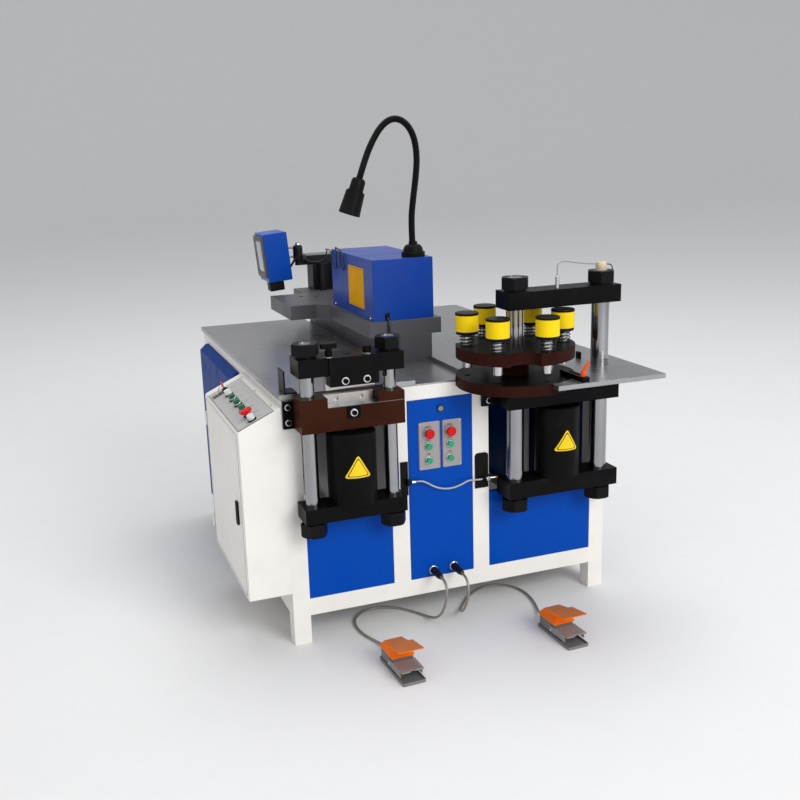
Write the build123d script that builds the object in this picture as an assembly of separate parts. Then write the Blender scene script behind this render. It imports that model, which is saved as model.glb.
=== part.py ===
from build123d import *
import math
import os

os.makedirs("parts", exist_ok=True)

# Busbar processing machine: a shear at the front left, a six-station punching
# turret at the front right and a horizontal bending unit behind them, on one
# welded frame. Millimetres. While it is drawn, X runs to the right along the
# front, Y runs back from the frame's front plane and Z runs up from the floor.

# Frame
frame_width = 1182.4
frame_depth = 1400.0
leg_side = 58.4
bottom_rail_low = 99.5
bottom_rail_high = 159.3
top_rail_depth = 48.0
bed_height = 850.0
bed_thickness = 5.0
left_post_x = 360.0
right_post_x = 658.0
post_width = 61.0
partition_thickness = 2.0
side_stay_y = 480.0
side_stay_width = 150.0
side_stay_thickness = 6.0

# Tables
table_thickness = 15.0
table_height = bed_height + table_thickness
table_rear = frame_depth + 12.0
left_table_left = -8.3
left_table_right = 456.0
left_table_front = -3.4
right_table_left = 647.0
right_table_right = 1223.0
right_table_front = -295.0
right_strip_left = 824.0
table_corner = 3.0
table_hole_gap = 2.0

# Sheet panels
panel_sheet = 2.0
panel_flange = 18.0
panel_gap = 0.4
panel_set_back = 1.5
centre_panel_left = left_post_x + post_width + 1.5
centre_panel_right = right_post_x - 0.5
left_panel_top = bed_height - 410.0
right_panel_top = bed_height - 414.0
side_cover_front = 650.0
side_cover_rear = 1300.0
side_cover_low = 130.0
side_cover_high = bed_height - 41.0
side_cover_shoulder = bed_height - 65.0
side_cover_depth = 37.0
side_cover_ridge = 11.0
right_panel_inset = 8.0
rear_panel_lap = 20.0

# Both press units hang in front of the frame
unit_front = -104.0
unit_back = -4.0
unit_axis_y = -58.7
ear_thickness = 12.0
slide_clearance = 0.05
seat_clearance = 0.02
body_gap = 0.3
cut_margin = 1.0

# Shear
shear_left = 35.0
shear_width = 341.5
shear_right = shear_left + shear_width
shear_block_low = bed_height - 94.6
shear_block_high = bed_height + 13.5
shear_ear_left = 0.5
shear_ear_right = shear_right + 21.5
shear_ear_top = bed_height - 5.0
shear_column_pitch = 271.0
shear_column_r = 23.0
shear_stroke = 30.0
shear_beam_low = bed_height + 83.7
shear_beam_high = bed_height + 140.5
shear_plate_low = bed_height - 392.0
shear_plate_high = bed_height - 342.0
shear_nut_flats = 76.0
shear_nut_top = bed_height + 185.0
shear_nut_bottom = bed_height - 444.0
notch_left = shear_left + 87.0
notch_right = notch_left + 168.0
notch_floor = bed_height - 16.0
blade_plane = -54.0
blade_thickness = 20.0
blade_end_gap = 2.0
blade_hole_r = 7.0
blade_hole_x = [notch_left + 43.0, notch_right - 43.0]
lower_blade_top = bed_height + 13.0
upper_blade_bottom = bed_height + 31.0
upper_blade_top = bed_height + 75.0
upper_blade_rake = 5.0
holder_left = notch_left + 8.5
holder_right = notch_right
holder_low = bed_height + 49.0
holder_proud = 8.0
holder_back = -34.0
holder_screw_x = [holder_left + 48.5, holder_right - 40.6]
holder_screw_z = bed_height + 66.0
holder_screw_r = 11.0
cap_screw_at = (notch_right - 28.0, -84.0)
cap_screw_r = 13.0
cap_screw_height = 25.0
front_pad = (notch_left + 62.0, notch_left + 103.0, bed_height - 56.0, bed_height - 17.0)
front_pad_proud = 6.0
shear_barrel_r = 80.0
shear_barrel_top = bed_height - 105.0
wing_x = holder_left + 4.5
wing_y = -93.0
wing_stem_r = 5.0

# Punching unit
turret_x = 790.8
punch_left = turret_x - 45.3
punch_width = 423.0
punch_right = punch_left + punch_width
punch_block_low = bed_height - 101.0
punch_ear_left = punch_left - 54.5
punch_column_pitch = 324.7
punch_column_r = 30.0
punch_stroke = 33.0
punch_beam_low = bed_height + 233.7
punch_beam_high = bed_height + 292.0
punch_plate_low = bed_height - 417.0
punch_plate_high = bed_height - 358.0
punch_nut_flats = 85.0
punch_nut_top = bed_height + 338.0
punch_nut_bottom = bed_height - 467.0
punch_barrel_r = 77.0
punch_barrel_top = bed_height - 108.0
probe_at = (turret_x + 139.7, -90.0)
probe_r = 6.5
probe_height = 47.0
switch_size = (43.0, 42.0, 30.0)

# Cylinder bores and pistons
bore_wall = 25.0
barrel_floor = 20.0
gland_depth = 30.0
piston_rod_r = 23.0
piston_head_height = 40.0
piston_head_low = bed_height - 250.0

# Turret and its punches
disc_r = 198.0
lower_disc_low = bed_height - 21.6
lower_disc_high = bed_height + 14.6
upper_disc_low = bed_height + 76.0
upper_disc_high = bed_height + 116.0
hub_r = 46.0
turret_bore_gap = 0.08
station_r = 160.0
station_count = 6
first_station_angle = 223.05
scallop_r = 52.0
scallop_centre_r = 204.0
disc_recess_gap = 2.5
die_r = 24.0
die_hole_r = 11.0
die_depth = 14.0
punch_sleeve_r = 16.5
punch_sleeve_low = bed_height + 43.0
punch_neck_r = 23.0
punch_neck_low = bed_height + 152.0
punch_base_r = 37.0
punch_base_low = bed_height + 156.0
punch_ring_r = 38.5
punch_ring_low = bed_height + 165.5
punch_ring_high = bed_height + 219.0
punch_cap_r = 39.2
punch_cap_top = bed_height + 227.4
spring_inner_gap = 3.2
spring_wire = 3.2
spring_turns = 3.5

# Stops on the right table
arm_left = 917.0
arm_width = 27.0
arm_front = -284.0
arm_rear = -135.0
arm_height = 15.0
lever_y = -262.0
lever_hub_r = 8.5
lever_hub_height = 20.0
lever_reach = 38.0
lever_lean = (0.42, -0.22, 0.88)
rear_stop = (1094.0, 1104.0, 39.0, 63.0)
rear_stop_height = 23.0

# Control cabinet on the left side
cabinet_depth = 143.0
cabinet_length = 570.0
cabinet_low = 188.0
cabinet_outer_top = bed_height - 88.0
cabinet_slope = 24.8
cabinet_sheet = 2.5
cabinet_door_sheet = 3.0
cabinet_door_gap = 3.0
cabinet_lip = 16.0
hinge_inset = 90.0
hinge_length = 50.0
hinge_r = 4.5
latch_front = 44.0
latch_width = 66.0
latch_low = bed_height - 426.0
latch_height = 98.0
latch_proud = 8.0
latch_rim = 10.0
plate_sheet = 2.5
control_plate_front = 2.0
control_plate_rear = 518.0
control_plate_margin = 3.0
control_plate_width = 125.5
control_row = 60.0
panel_bezel_r = 15.0
panel_bezel_height = 5.0
plate_hole_r = 10.0
plate_controls = [
    ("stop_button", 84.0), ("green_button_1", 158.0), ("green_button_2", 238.0), ("green_button_3", 318.0),
    ("pilot_lamp", 392.0), ("key_switch", 458.0), ("white_button", 26.0),
]

# Front panel: push buttons and lock
bezel_r = 14.0
bezel_height = 5.0
cap_r = 10.5
cap_height = 14.0
cap_travel = 4.0
mushroom_r = 16.5
mushroom_height = 25.0
mushroom_travel = 6.0
button_stem_r = 8.0
button_hole_gap = 0.4
button_columns = [494.5, 572.7]
button_rows = [(bed_height - 170.5, "mushroom"), (bed_height - 216.0, "cap"), (bed_height - 265.7, "cap")]
door_buttons = [(x, z, kind) for x in button_columns for z, kind in button_rows]
button_plate_spans = [(460.0, 537.0), (546.0, 616.0)]
button_plate_low = bed_height - 298.0
button_plate_high = bed_height - 132.5
button_plate_sheet = 2.0
panel_face = -1.5
lock_x = 540.6
lock_z = bed_height - 90.4
lock_r = 9.0
lock_collar_r = 12.0

# Bending unit
bend_front = 352.0
bend_rear = frame_depth + 8.0
bend_body_left = 489.0
bend_body_right = 660.8
bend_body_top = bed_height + 97.6
bend_plate_top = bed_height + 154.4
bend_plate_left = 421.0
bend_plate_right = 698.5
arm_plate_left = 271.0
arm_plate_front = 887.0
arm_plate_rear = 1230.0
plate_holes = [(383.0, 1139.0, 11.0), (404.0, 1143.0, 5.0), (443.0, 1108.0, 11.0)]
plate_hole_depth = 30.0
cover_left = 442.3
cover_right = 674.9
cover_front = bend_front + 10.0
cover_rear = 859.0
cover_top = bed_height + 374.5
cover_sheet = 2.5
cover_slot = (485.0, 503.0, 31.0)
ram_x = 559.0
ram_z = bed_height + 235.0
ram_rod_r = 35.0
ram_stroke = 120.0
ram_nose_reach = (90.0, 145.0, 200.0)
ram_nose_half = 45.0
ram_nose_height = 126.0
ram_barrel_r = 60.0
ram_barrel_front = 420.0
ram_support_front = cover_rear + 3.0
ram_support_rear = 930.0
ram_support_half = 89.0
ram_support_top = bend_plate_top + 191.6
ram_nose_y = [ram_support_rear + reach for reach in ram_nose_reach]

# Fixed die at the rear, with the bridge that carries the display's arm
die_left = 490.0
die_right = 628.0
die_block_length = 92.0
die_front = bend_rear - die_block_length
die_vee_length = 46.0
die_vee_front = die_front - die_vee_length
die_vee_half = 44.0
die_vee_depth = 29.0
die_height = 117.6
bridge_left = 463.0
bridge_right = 648.0
bridge_height = 38.0
pivot_x = 432.0
pivot_y = die_front + 24.0
pivot_r = 21.0
pivot_low = bend_plate_top + 112.0
pivot_high = bend_plate_top + 134.0

# Lamp on a flexible neck: neck points are X and the height above the cover
lamp_x = 622.0
lamp_y = 420.0
lamp_foot_r = 44.0
lamp_neck_r = 11.5
lamp_neck_points = [
    (620, 45.5), (617, 127.5), (626, 198.5), (640, 285.5), (646, 355.5), (636, 424.5),
    (604, 472.5), (559, 487.5), (513, 460.5), (470, 394.5), (442, 327.5), (424, 276.5),
]

# Display on two rods beside the bridge
display_centre = (317.0, pivot_y - 15.0, bend_plate_top + 161.1)
display_size = (105.0, 160.0, 207.0)
display_lean = -5.0
display_rod_r = 3.5
display_rods_z = [bend_plate_top + 150.0, bend_plate_top + 190.0]

# Foot pedals: each stands at the rear left corner of its base plate
pedal_width = 78.0
pedal_length = 197.0
pedal_rim = 10.0
pedal_floor = 4.0
pedal_corner = 6.0
left_pedal_at = (228.0, -197.0, 2.6)
right_pedal_at = (804.0, -201.0, 2.6)
housing_front = -105.0
housing_back = -8.0
housing_side = 4.5
hood_low = 49.0
hood_taper = 10.0
hood_profile = [(-8, 0), (-8, 7), (-28, 29), (-88, 43), (-108, 39), (-108, 0)]
visor_reach = 178.0
visor_profile = [(-82, 38), (-88, 44), (-178, 58), (-178, 55), (-100, 38)]
visor_overhang = 3.0
treadle_pivot_back = 85.0
treadle_pivot_z = 25.0
treadle_pin_r = 3.5
tread_low = 38.0
tread_high = 42.0
tread_front = -186.0
tread_back = -112.0
treadle_arm = 3.5

# Cords: connector on the front panel, then free down to the floor
connector_r = 14.0
connector_length = 72.0
left_connector = (503.0, 184.0)
right_connector = (580.0, 186.0)
cord_r = 4.5
floor_z = cord_r + 0.5
left_cord_points = [
    (503, -72, 184), (503, -97, 184), (503, -119, 170), (500, -128, 145), (497, -124, 114),
    (494, -112, 84), (492, -93, 59), (491, -66, 36), (489, -34, 18), (482, 4, floor_z + 2),
    (462, 44, floor_z), (434, 88, floor_z), (396, 128, floor_z), (346, 150, floor_z),
    (294, 145, floor_z), (250, 112, floor_z), (228, 62, floor_z), (226, 6, floor_z),
    (237, -46, floor_z), (254, -89, floor_z + 1), (262, -122, 9), (265, -149, 17), (265.96, -173.25, 24),
    (266.96, -195.23, 24),
]
right_cord_points = [
    (580, -72, 186), (580, -97, 186), (581, -119, 172), (580, -129, 147), (578, -126, 116),
    (577, -113, 86), (579, -92, 61), (584, -65, 39), (593, -32, 21), (607, 6, floor_z + 4),
    (634, 44, floor_z), (668, 86, floor_z), (712, 126, floor_z), (766, 150, floor_z),
    (820, 148, floor_z), (860, 118, floor_z), (882, 68, floor_z), (884, 12, floor_z),
    (876, -43, floor_z), (862, -90, floor_z + 1), (850, -125, 9), (843.5, -153, 17), (841.96, -177.25, 24),
    (842.96, -199.23, 24),
]
link_left_z = bed_height - 331.5
link_right_z = bed_height - 358.0
link_cable_r = 3.0
link_cable_points = [
    (445, -14, link_left_z), (463, -14, link_left_z), (482, -15, link_left_z - 9.5), (506, -17, link_left_z - 25.5),
    (534, -18, link_left_z - 37.5), (568, -18, link_left_z - 41.5), (602, -18, link_left_z - 35.5),
    (632, -16, link_right_z + 3), (653, -14, link_right_z + 2), (671, -14, link_right_z), (688, -14, link_right_z),
]
link_socket_r = 5.5
left_bracket = (392.0, 418.5, bed_height - 379.4, bed_height - 261.0)
right_bracket = (666.0, 715.6, bed_height - 393.0, bed_height - 267.0)
bracket_sheet = 4.0
bracket_lug = 16.0
table_bracket_x = (11.0, 16.0, 53.0)
table_bracket_depth = 70.0
table_bracket_high = table_height + 75.0

# Named results of the sizes above
shear_centre_x = shear_left + shear_width / 2
shear_column_x = [shear_centre_x - shear_column_pitch / 2, shear_centre_x + shear_column_pitch / 2]
punch_column_x = [turret_x, turret_x + punch_column_pitch]
punch_centre_x = turret_x + punch_column_pitch / 2
frame_top = bed_height - bed_thickness
cut_height = 2 * punch_nut_top
disc_recess_floor = lower_disc_low - body_gap
disc_recess_r = disc_r + disc_recess_gap
cabinet_tan = math.tan(math.radians(cabinet_slope))
cabinet_inner_top = cabinet_outer_top + cabinet_depth * cabinet_tan
station_angles = [first_station_angle + 360 / station_count * k for k in range(station_count)]
post_spans = [(left_post_x, left_post_x + post_width), (right_post_x, right_post_x + post_width)]

# The finished model stands on its bounding box's bottom centre, cords left out
right_pedal_turn = math.radians(right_pedal_at[2])
model_left = -cabinet_depth - cabinet_door_sheet - body_gap - latch_proud
model_front = (right_pedal_at[1] - pedal_corner + pedal_corner * math.sin(right_pedal_turn)
               - (pedal_length - pedal_corner) * math.cos(right_pedal_turn))
origin = ((model_left + right_table_right) / 2, (model_front + table_rear) / 2)


def slab(x0, x1, y0, y1, z0, z1):
    """A block between two corners."""
    middle = ((x0 + x1) / 2, (y0 + y1) / 2, (z0 + z1) / 2)
    return Pos(*middle) * Box(x1 - x0, y1 - y0, z1 - z0)


def upright(x, y, z0, z1, radius):
    """A round bar standing along Z."""
    return Pos(x, y, (z0 + z1) / 2) * Cylinder(radius, z1 - z0)


def level_bar(x, z, y0, y1, radius):
    """A round bar lying along Y."""
    return Pos(x, (y0 + y1) / 2, z) * Rot(90, 0, 0) * Cylinder(radius, y1 - y0)


def cross_bar(x0, x1, y, z, radius):
    """A round bar lying along X."""
    return Pos((x0 + x1) / 2, y, z) * Rot(0, 90, 0) * Cylinder(radius, x1 - x0)


def joined(solids):
    """Fuses a list of solids that touch or overlap into one."""
    first, *rest = solids
    for solid in rest:
        first = first + solid
    return first


def eased(shape, size, axis=Axis.Z):
    """Chamfers the edges that run along one axis."""
    return chamfer(shape.edges().filter_by(axis), size)


def hex_nut(x, y, z0, z1, flats, bore, collar_end):
    """A tall nut whose corners are turned off, with a round collar at one end."""
    corner = flats / 2 / math.cos(math.radians(30))
    collar = 8.0
    hexagon = RegularPolygon(flats / 2, 6, major_radius=False)
    blank = Pos(x, y, z0) * extrude(hexagon, z1 - z0)
    turned = chamfer(Cylinder(corner, z1 - z0).edges().filter_by(GeomType.CIRCLE), flats * 0.05)
    nut = blank & (Pos(x, y, (z0 + z1) / 2) * turned)
    low, high = (z0, z0 + collar) if collar_end == "low" else (z1 - collar, z1)
    sleeve = upright(x, y, low, high, corner + 1) - upright(x, y, low, high, flats * 0.43)
    return nut - sleeve - upright(x, y, z0, z1, bore)


def save(name, *solids):
    """Moves a node to the finished origin and writes it."""
    moved = [Pos(-origin[0], -origin[1], 0) * solid for solid in solids]
    shape = moved[0] if len(moved) == 1 else Compound(children=moved)
    export_step(shape, f"parts/{name}.step")


# Frame and tables

def make_frame():
    far_x = frame_width - leg_side
    far_y = frame_depth - leg_side
    stay_top = frame_top - top_rail_depth
    rails = ((bottom_rail_low, bottom_rail_high), (stay_top, frame_top))
    members = []
    for x in (0, far_x):
        for y in (0, far_y):
            members.append(slab(x, x + leg_side, y, y + leg_side, 0, frame_top))
        for low, high in rails:
            members.append(slab(x, x + leg_side, leg_side, far_y, low, high))
    for y in (0, far_y):
        for low, high in rails:
            members.append(slab(leg_side, far_x, y, y + leg_side, low, high))
        for x0, x1 in post_spans:
            members.append(slab(x0, x1, y, y + leg_side, bottom_rail_high, stay_top))
    for x0, x1 in post_spans:
        for low, high in rails:
            members.append(slab(x0, x1, leg_side, far_y, low, high))
        wall_x = (x0 + x1) / 2
        members.append(slab(wall_x, wall_x + partition_thickness, leg_side, far_y, bottom_rail_high, stay_top))
    members.append(slab(far_x, far_x + side_stay_thickness, side_stay_y, side_stay_y + side_stay_width,
                        bottom_rail_high, stay_top))
    recess = upright(turret_x, unit_axis_y, disc_recess_floor, bed_height + cut_margin, disc_recess_r)
    save("frame", joined(members) - recess)


def make_bed_plate():
    plate = slab(0, frame_width, 0, frame_depth, frame_top, bed_height)
    recess = upright(turret_x, unit_axis_y, frame_top - cut_margin, bed_height + cut_margin, disc_recess_r)
    save("bed_plate", plate - recess)


def make_left_table():
    table = slab(left_table_left, left_table_right, left_table_front, table_rear, bed_height, table_height)
    save("left_table", eased(table, table_corner))


def make_right_table():
    """A plate with a strip along the front and an arc cut round the turret."""
    table = slab(right_table_left, right_table_right, right_table_front, table_rear, bed_height, table_height)
    low = bed_height - cut_margin
    high = table_height + cut_margin
    front_corner = slab(right_table_left - cut_margin, right_strip_left, right_table_front - cut_margin,
                        unit_axis_y, low, high)
    recess = upright(turret_x, unit_axis_y, low, high, disc_recess_r)
    column_hole = upright(punch_column_x[1], unit_axis_y, low, high, punch_column_r + table_hole_gap)
    block_notch = slab(right_table_left - cut_margin, bend_body_right + seat_clearance,
                       bend_front - seat_clearance, table_rear + cut_margin, low, high)
    save("right_table", table - front_corner - recess - column_hole - block_notch)


# Sheet metal

def tray(x0, x1, y0, z0, z1):
    """A folded pan whose face looks to the front and whose flanges run back."""
    outer = slab(x0, x1, y0, y0 + panel_flange, z0, z1)
    outer = fillet(outer.edges().filter_by(Axis.Z).group_by(Axis.Y)[0], panel_sheet)
    return outer - slab(x0 + panel_sheet, x1 - panel_sheet, y0 + panel_sheet, y0 + panel_flange,
                        z0 + panel_sheet, z1 - panel_sheet)


def make_front_panels():
    far_x = frame_width - leg_side
    left = tray(leg_side + panel_gap, left_post_x - panel_gap, panel_set_back, bottom_rail_high, left_panel_top)
    right = tray(right_post_x + post_width + panel_gap, far_x - panel_gap, panel_set_back, bottom_rail_high,
                 right_panel_top)
    centre = tray(centre_panel_left, centre_panel_right, panel_face, bottom_rail_high,
                  frame_top - top_rail_depth - panel_gap)
    centre = centre - level_bar(lock_x, lock_z, -panel_flange, panel_flange, lock_r + slide_clearance)
    for x, z in (left_connector, right_connector):
        centre = centre - level_bar(x, z, -panel_flange, panel_flange, connector_r * 0.6)
    for x, z, kind in door_buttons:
        centre = centre - level_bar(x, z, -panel_flange, panel_flange, button_hole_r(kind))
    save("front_panels", left, centre, right)


def make_body_covers():
    """Left side cover with its sloping top fold, right side panel and rear panel."""
    with BuildSketch(Plane.XZ) as section:
        Polygon(
            (0, side_cover_low), (0, side_cover_high), (-side_cover_ridge, side_cover_high),
            (-side_cover_depth, side_cover_shoulder), (-side_cover_depth, side_cover_low), align=None,
        )
    shell = Pos(0, side_cover_rear, 0) * extrude(section.sketch, side_cover_rear - side_cover_front)
    shell = offset(shell, -panel_sheet, openings=shell.faces().sort_by(Axis.X)[-1])
    top = frame_top - top_rail_depth
    right = slab(frame_width - right_panel_inset, frame_width - right_panel_inset + panel_sheet,
                 leg_side, frame_depth - leg_side, bottom_rail_high, top)
    rear = slab(leg_side / 2, frame_width - leg_side / 2, frame_depth, frame_depth + panel_sheet,
                bottom_rail_high - rear_panel_lap, top + rear_panel_lap)
    save("body_covers", shell, right, rear)


# Push buttons, lock and controls

def on_slope(shape, along, y):
    """Places a shape drawn round Z on the cabinet's sloping top."""
    x = -cabinet_depth + along * math.cos(math.radians(cabinet_slope))
    z = cabinet_outer_top + along * math.sin(math.radians(cabinet_slope))
    return Pos(x, y, z) * Rot(0, -cabinet_slope, 0) * shape


def on_panel(shape, x, z):
    """Places a shape drawn round Z on the front, pointing out to the front."""
    return Pos(x, panel_face, z) * Rot(90, 0, 0) * shape


def stepped(*steps):
    """Round steps stacked along Z: pairs of radius and height."""
    z = 0.0
    parts = []
    for radius, height in steps:
        parts.append(Pos(0, 0, z + height / 2) * Cylinder(radius, height))
        z += height
    return joined(parts)


def button_hole_r(kind):
    return (button_stem_r if kind == "mushroom" else cap_r) + button_hole_gap


def button_cap(kind, base):
    """A stem through the bezel, then a pushed cap or a domed mushroom head."""
    if kind == "mushroom":
        head_r, rise, shoulder = mushroom_r, mushroom_height, mushroom_travel
    else:
        head_r, rise, shoulder = cap_r, cap_height, cap_travel
    stem_top = base + bezel_height + shoulder
    stem = Pos(0, 0, stem_top / 2) * Cylinder(button_stem_r, stem_top)
    if kind != "mushroom":
        stem = Pos(0, 0, base / 2) * Cylinder(button_stem_r, base)
        head = Pos(0, 0, base + rise / 2) * Cylinder(head_r, rise)
        return stem + chamfer(head.faces().sort_by(Axis.Z)[-1].edges(), 1.2)
    head = Pos(0, 0, stem_top + (rise - stem_top) / 2) * Cylinder(head_r, rise - stem_top)
    return stem + fillet(head.faces().sort_by(Axis.Z)[-1].edges(), 4.0)


def bezel(kind):
    """The fixed ring round one button."""
    ring = Pos(0, 0, bezel_height / 2) * Cylinder(bezel_r, bezel_height)
    ring = chamfer(ring.faces().sort_by(Axis.Z)[-1].edges(), 1.5)
    return ring - Pos(0, 0, bezel_height / 2) * Cylinder(button_hole_r(kind), bezel_height)


def make_control_plates():
    """Two button plates with their bezels and the plate on the cabinet's slope."""
    solids = []
    for (x0, x1), x in zip(button_plate_spans, button_columns):
        plate = slab(x0, x1, panel_face - button_plate_sheet, panel_face, button_plate_low, button_plate_high)
        plate = eased(plate, 4.0, Axis.Y)
        for z, kind in button_rows:
            plate = plate - level_bar(x, z, panel_face - 2 * button_plate_sheet, panel_face + cut_margin,
                                      button_hole_r(kind))
            plate = plate + Pos(0, -button_plate_sheet, 0) * on_panel(bezel(kind), x, z)
        solids.append(plate)
    width = control_plate_width
    length = control_plate_rear - control_plate_front
    sheet = Pos(width / 2 + control_plate_margin, 0, plate_sheet / 2) * Box(width, length, plate_sheet)
    for name, y in plate_controls:
        at = Pos(control_row, y - control_plate_front - length / 2, plate_sheet)
        hole = Pos(control_row, y - control_plate_front - length / 2, 0) * Cylinder(plate_hole_r, 40)
        ring = at * Pos(0, 0, panel_bezel_height / 2) * Cylinder(panel_bezel_r, panel_bezel_height)
        if name == "pilot_lamp":
            sheet = sheet + at * stepped((panel_bezel_r, panel_bezel_height), (12.0, 16.0))
        else:
            sheet = sheet + ring - hole
    solids.append(on_slope(sheet, 0, control_plate_front + length / 2))
    save("control_plates", *solids)


def make_panel_lock():
    body = stepped((lock_r, 4.0))
    collar = Pos(0, 0, 4.0 + 1.5) * Cylinder(lock_r + 3, 3.0)
    key_slot = Pos(0, 0, 6.5) * Box(2.0, 9.0, 3.0)
    save("panel_lock", Pos(0, 1.5, 0) * on_panel(body + collar - key_slot, lock_x, lock_z))


def make_door_buttons():
    for column, x in zip(("left", "right"), button_columns):
        for (z, kind), name in zip(button_rows, ("stop", "start", "jog")):
            save(f"{column}_{name}_button", on_panel(button_cap(kind, button_plate_sheet), x, z))


def make_plate_buttons():
    """Caps whose stems pass through the sheet of the cabinet's top plate."""
    base = plate_sheet + panel_bezel_height
    stem_r = plate_hole_r - button_hole_gap
    for name, y in plate_controls:
        stem = Pos(0, 0, base / 2) * Cylinder(stem_r, base)
        if name == "stop_button":
            cap = Pos(0, 0, base) * stepped((stem_r, 10.0), (20.0, 9.0))
            cap = stem + fillet(cap.faces().sort_by(Axis.Z)[-1].edges(), 4.0)
        elif name == "key_switch":
            turned = Pos(0, 0, base) * stepped((stem_r, 6.0))
            key = Pos(0, 0, base + 6 + 13) * Box(3.0, 18.0, 26.0)
            cap = stem + turned + key
        elif name == "pilot_lamp":
            continue
        else:
            cap = stem + Pos(0, 0, base) * stepped((stem_r, 4.5), (11.5, 12.0))
            cap = chamfer(cap.faces().sort_by(Axis.Z)[-1].edges(), 1.0)
        save(name, on_slope(cap, control_row, y))


# Control cabinet

def make_control_cabinet():
    """A folded case, open on its left side, with a sloping top."""
    with BuildSketch(Plane.XZ) as section:
        Polygon(
            (-cabinet_depth, cabinet_low), (0, cabinet_low), (0, cabinet_inner_top),
            (-cabinet_depth, cabinet_outer_top), align=None,
        )
    case = Pos(0, cabinet_length, 0) * extrude(section.sketch, cabinet_length)
    inside = offset(case, -cabinet_sheet)
    doorway = slab(-cabinet_depth - cut_margin, -cabinet_depth + 2 * cabinet_sheet,
                   cabinet_lip, cabinet_length - cabinet_lip,
                   cabinet_low + cabinet_lip, cabinet_outer_top - cabinet_lip)
    case = case - inside - doorway
    for name, y in plate_controls:
        if name != "pilot_lamp":
            case = case - on_slope(Cylinder(plate_hole_r, 16), control_row, y)
    save("control_cabinet", case)


def make_cabinet_door():
    """A folded door hung at its rear edge, with two pin hinges."""
    outer = -cabinet_depth - cabinet_door_sheet
    door = slab(outer, -cabinet_depth - body_gap, cabinet_door_gap, cabinet_length - cabinet_door_gap,
                cabinet_low + cabinet_door_gap, cabinet_outer_top - cabinet_door_gap)
    door = chamfer(door.faces().sort_by(Axis.X)[0].edges(), 1.2)
    for z in (cabinet_low + hinge_inset, cabinet_outer_top - hinge_inset):
        door = door + upright(outer - 3, cabinet_length - 4, z - hinge_length / 2, z + hinge_length / 2, hinge_r)
    save("cabinet_door", door)


def make_cabinet_latch():
    """A flush lifting handle, hinged along its top edge."""
    outer = -cabinet_depth - cabinet_door_sheet - body_gap
    latch_rear = latch_front + latch_width
    plate = slab(outer - latch_proud, outer, latch_front, latch_rear, latch_low, latch_low + latch_height)
    plate = fillet(plate.edges().filter_by(Axis.X), 6.0)
    grip = slab(outer - latch_proud - 1, outer - latch_proud / 2, latch_front + latch_rim, latch_rear - latch_rim,
                latch_low + latch_rim, latch_low + latch_height / 2)
    save("cabinet_latch", plate - grip)


# Press units

def barrel(x, plate_top, top, radius):
    """A closed hydraulic barrel with its chamber and rod gland."""
    body = upright(x, unit_axis_y, plate_top, top, radius)
    body = chamfer(body.faces().sort_by(Axis.Z)[-1].edges(), 4.0)
    chamber = upright(x, unit_axis_y, plate_top + barrel_floor, top - gland_depth, radius - bore_wall)
    gland = upright(x, unit_axis_y, top - gland_depth - 1, top + 1, piston_rod_r + slide_clearance)
    return body - chamber - gland


def piston(x, block_low, radius):
    """A rod that hangs from the fixed block, with its head inside the barrel."""
    rod = upright(x, unit_axis_y, piston_head_low, block_low, piston_rod_r)
    head_r = radius - bore_wall - slide_clearance
    return rod + upright(x, unit_axis_y, piston_head_low, piston_head_low + piston_head_height, head_r)


def columns(places, radius, low, high, plate_low, beam_high, flats):
    """Tie columns with a ring groove above the bottom plate, and their nuts."""
    solids = []
    for x in places:
        column = upright(x, unit_axis_y, low + 3, high - 3, radius)
        column = chamfer(column.edges().filter_by(GeomType.CIRCLE), 2.0)
        solids.append(column)
        bore = radius + seat_clearance
        solids.append(hex_nut(x, unit_axis_y, beam_high, high, flats, bore, "low"))
        solids.append(hex_nut(x, unit_axis_y, low, plate_low, flats, bore, "high"))
    return solids


def bored(block, places, radius):
    """Cuts the column holes right through a block."""
    for x in places:
        block = block - upright(x, unit_axis_y, 0, cut_height, radius)
    return block


def make_shear_block():
    """The fixed block: notch for the lower blade, column bores and lugs."""
    block = slab(shear_left, shear_right, unit_front, unit_back, shear_block_low, shear_block_high)
    block = chamfer(block.edges().filter_by(Axis.X), 2.0)
    notch_back = blade_plane + blade_thickness
    block = block - slab(notch_left, notch_right, unit_front - cut_margin, notch_back, notch_floor,
                         shear_block_high + cut_margin)
    block = bored(block, shear_column_x, shear_column_r + slide_clearance)
    block = block + slab(shear_ear_left, shear_left, -ear_thickness, 0, shear_block_low, shear_ear_top)
    block = block + slab(shear_right, shear_ear_right, -ear_thickness, 0, shear_block_low, shear_ear_top)
    x0, x1, z0, z1 = front_pad
    block = block + slab(x0, x1, unit_front - front_pad_proud, unit_front, z0, z1)
    save("shear_block", block, piston(shear_centre_x, shear_block_low, shear_barrel_r))


def make_lower_blade():
    blade = slab(notch_left + blade_end_gap, notch_right - blade_end_gap, blade_plane,
                 blade_plane + blade_thickness, notch_floor, lower_blade_top)
    for x in blade_hole_x:
        blade = blade - level_bar(x, (notch_floor + lower_blade_top) / 2, blade_plane - cut_margin,
                                  blade_plane + blade_thickness * 0.3, blade_hole_r)
    save("lower_blade", blade)


def make_shear_columns():
    save("shear_columns", *columns(shear_column_x, shear_column_r, shear_nut_bottom, shear_nut_top,
                                   shear_plate_low, shear_beam_high, shear_nut_flats))


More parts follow.
